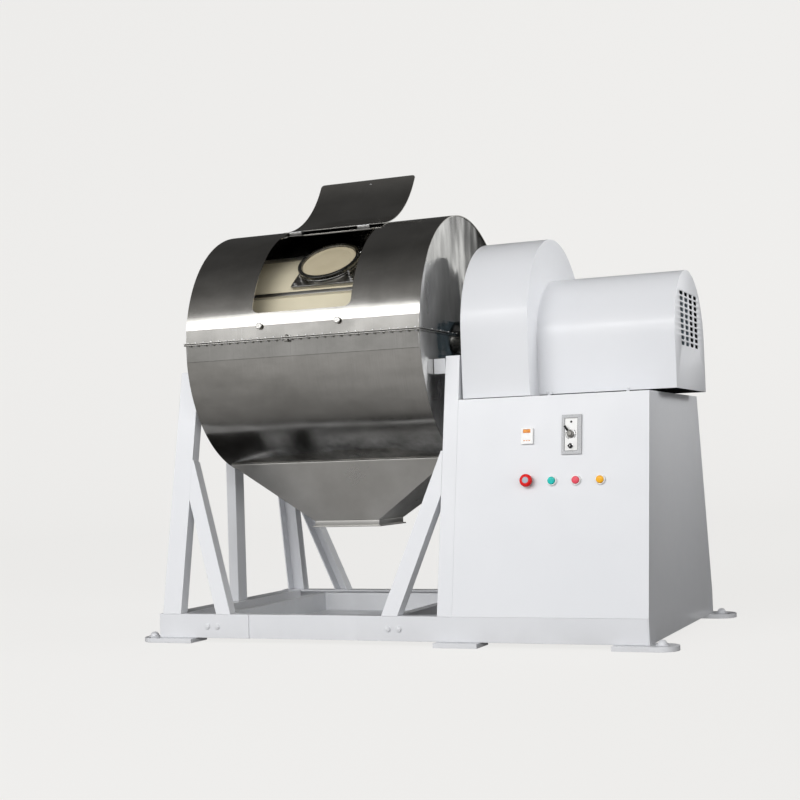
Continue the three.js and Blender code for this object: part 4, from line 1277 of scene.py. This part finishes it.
for material, names in KEPT.items():
    for name in names.split():
        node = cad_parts[name]
        for held in node.material_slots:
            held.link = "OBJECT"
            held.material = material
        shading = node.data.attributes.get("custom_normal")
        if shading is not None:
            node.data.attributes.remove(shading)
        weld = node.modifiers.new("weld", "WELD")
        weld.merge_threshold = 0.00002
        if name in ROUND:
            node.data.shade_smooth()
            crisp = node.modifiers.new("crisp", "EDGE_SPLIT")
            crisp.split_angle = radians(32)
            continue
        node.data.shade_flat()
        edge = node.modifiers.new("edge", "BEVEL")
        edge.width = EASE.get(name, 0.001)
        edge.segments = 3
        edge.limit_method = "ANGLE"
        edge.angle_limit = radians(30)
        edge.use_clamp_overlap = True

# ---- stage, light and camera ----
scene = bpy.context.scene
scene.view_settings.view_transform = "Standard"
scene.view_settings.look = "None"

FLAT, SWEEP = 9.0, 4.0  # the floor's flat radius and the curve up from it
profile = [(0.0, 0.0), (2.0, 0.0), (5.0, 0.0), (FLAT, 0.0)]
for degrees in range(6, 91, 6):
    a = radians(degrees)
    profile.append((FLAT + SWEEP * math.sin(a), SWEEP - SWEEP * math.cos(a)))
profile += [(13.0, 9.0), (11.0, 13.0), (6.0, 15.0), (0.0, 16.0)]
bowl_mesh = bpy.data.meshes.new("studio_bowl")
bm = bmesh.new()
lathe(bm, profile, Matrix.Translation((0, 0, -0.0004)), 96)
bmesh.ops.recalc_face_normals(bm, faces=bm.faces)
bmesh.ops.reverse_faces(bm, faces=bm.faces)
bm.to_mesh(bowl_mesh)
bm.free()
smooth(bowl_mesh, 60)
bowl = shown("studio_bowl", bowl_mesh)
bowl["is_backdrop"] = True
bowl.visible_diffuse = False
bowl.visible_glossy = False
bowl.visible_transmission = False
bowl.visible_shadow = False
paper = bpy.data.materials.new("studio_paper")
paper.use_nodes = True
paper_shader = paper.node_tree.nodes["Principled BSDF"]
paper_shader.inputs["Base Color"].default_value = (0.1, 0.1, 0.1, 1)
paper_shader.inputs["Roughness"].default_value = 1.0
paper_shader.inputs["Specular IOR Level"].default_value = 0.0
paper_shader.inputs["Emission Color"].default_value = (0.863, 0.855, 0.839, 1)
paper_shader.inputs["Emission Strength"].default_value = 0.92
bowl_mesh.materials.append(paper)

# The room round the machine: a bright strip low on the operator's side, dark above.
world = bpy.data.worlds.new("studio")
scene.world = world
world.use_nodes = True
w = Nodes(world.node_tree)
split = w.add("ShaderNodeSeparateXYZ")
w.link(w.coord.outputs["Generated"], split.inputs["Vector"])
front = w.math("MULTIPLY", split.outputs["Y"], -1.0)
turn = w.math("ARCTAN2", split.outputs["Z"], front)
place = w.span(turn, -math.pi, math.pi, 0.0, 1.0)
ramp = w.add("ShaderNodeValToRGB")
w.link(place, ramp.inputs["Fac"])
BANDS = (  # degrees above the horizontal in front, brightness
    (-180, 0.05), (-117, 0.05), (-108, 0.02), (-90, 0.02), (-80, 0.05), (-62, 0.2),
    (-50, 0.25), (-36, 0.32), (-15, 0.42), (4, 0.48), (12, 0.66), (18, 0.95), (21, 1.5),
    (26, 5.0), (29.5, 5.0), (32, 0.6), (40, 0.28), (62, 0.13), (95, 0.06), (180, 0.05),
)
PEAK = 5.0
stops = ramp.color_ramp
stops.interpolation = "EASE"
while len(stops.elements) < len(BANDS):
    stops.elements.new(0.5)
for element, (degrees, value) in zip(stops.elements, BANDS):
    element.position = (degrees + 180) / 360
for element, (degrees, value) in zip(stops.elements, BANDS):
    warm = 0.97 if value < 0.45 else 1.0
    element.color = (value / PEAK, value / PEAK * (0.5 + warm / 2), value / PEAK * warm, 1)
background = world.node_tree.nodes["Background"]
background.inputs["Strength"].default_value = PEAK
# a bright wall at the rear on the motor's side, seen in the polished end plate
side = w.span(split.outputs["X"], 0.12, 0.45, 0.0, 1.0)
rear = w.span(split.outputs["Y"], 0.3, 0.75, 0.0, 1.0)
level = w.span(split.outputs["Z"], 0.068, 0.1, 0.0, 1.0)
wall = w.math("MULTIPLY", w.math("MULTIPLY", side, rear), level)
mist = w.noise(3.0, (2.0, 2.0, 0.6), source="Generated")
wall = w.math("MULTIPLY", wall, w.span(mist, 0.35, 0.62, 0.25, 1.0))
total = w.mix(wall, ramp.outputs["Color"], (0.24, 0.24, 0.237))
w.link(total, background.inputs["Color"])


def soft_light(name, spot, target, size, watts):
    lamp = bpy.data.lights.new(name, "AREA")
    lamp.shape = "RECTANGLE"
    lamp.size, lamp.size_y = size
    lamp.energy = watts
    obj = shown(name, lamp)
    obj.location = spot
    obj.rotation_euler = (Vector(target) - Vector(spot)).to_track_quat("-Z", "Y").to_euler()
    obj.visible_glossy = False
    return obj


soft_light("key", (-0.7, -4.5, 2.3), (0.0, 0.0, 0.7), (3.0, 2.2), 72)
soft_light("top", (0.2, 0.3, 4.0), (0.1, 0.0, 0.8), (3.0, 2.4), 9)
fill = soft_light("rear_fill", (3.4, 0.4, 2.1), (0.55, 0.0, 1.1), (0.9, 0.9), 3.4)
fill.data.spread = radians(40)

camera_data = bpy.data.cameras.new("camera")
camera_data.lens = 66.03
camera_data.sensor_width = 36.0
camera_data.clip_start = 0.05
camera_data.clip_end = 60.0
camera = shown("camera", camera_data)
CAMERA_SPOT = (1.79472, -4.49606, 0.54397)
YAW, PITCH, ROLL = radians(23.206), radians(2.498), radians(-1.945)
over = math.cos(PITCH)
ahead = Vector((-math.sin(YAW) * over, math.cos(YAW) * over, math.sin(PITCH)))
level_right = Vector((math.cos(YAW), math.sin(YAW), 0))
level_up = level_right.cross(ahead)
right = level_right * math.cos(ROLL) + level_up * math.sin(ROLL)
up = level_up * math.cos(ROLL) - level_right * math.sin(ROLL)
camera_turn = Matrix((right, up, -ahead)).transposed().to_4x4()
camera.matrix_world = Matrix.Translation(CAMERA_SPOT) @ camera_turn
scene.camera = camera

low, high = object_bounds()
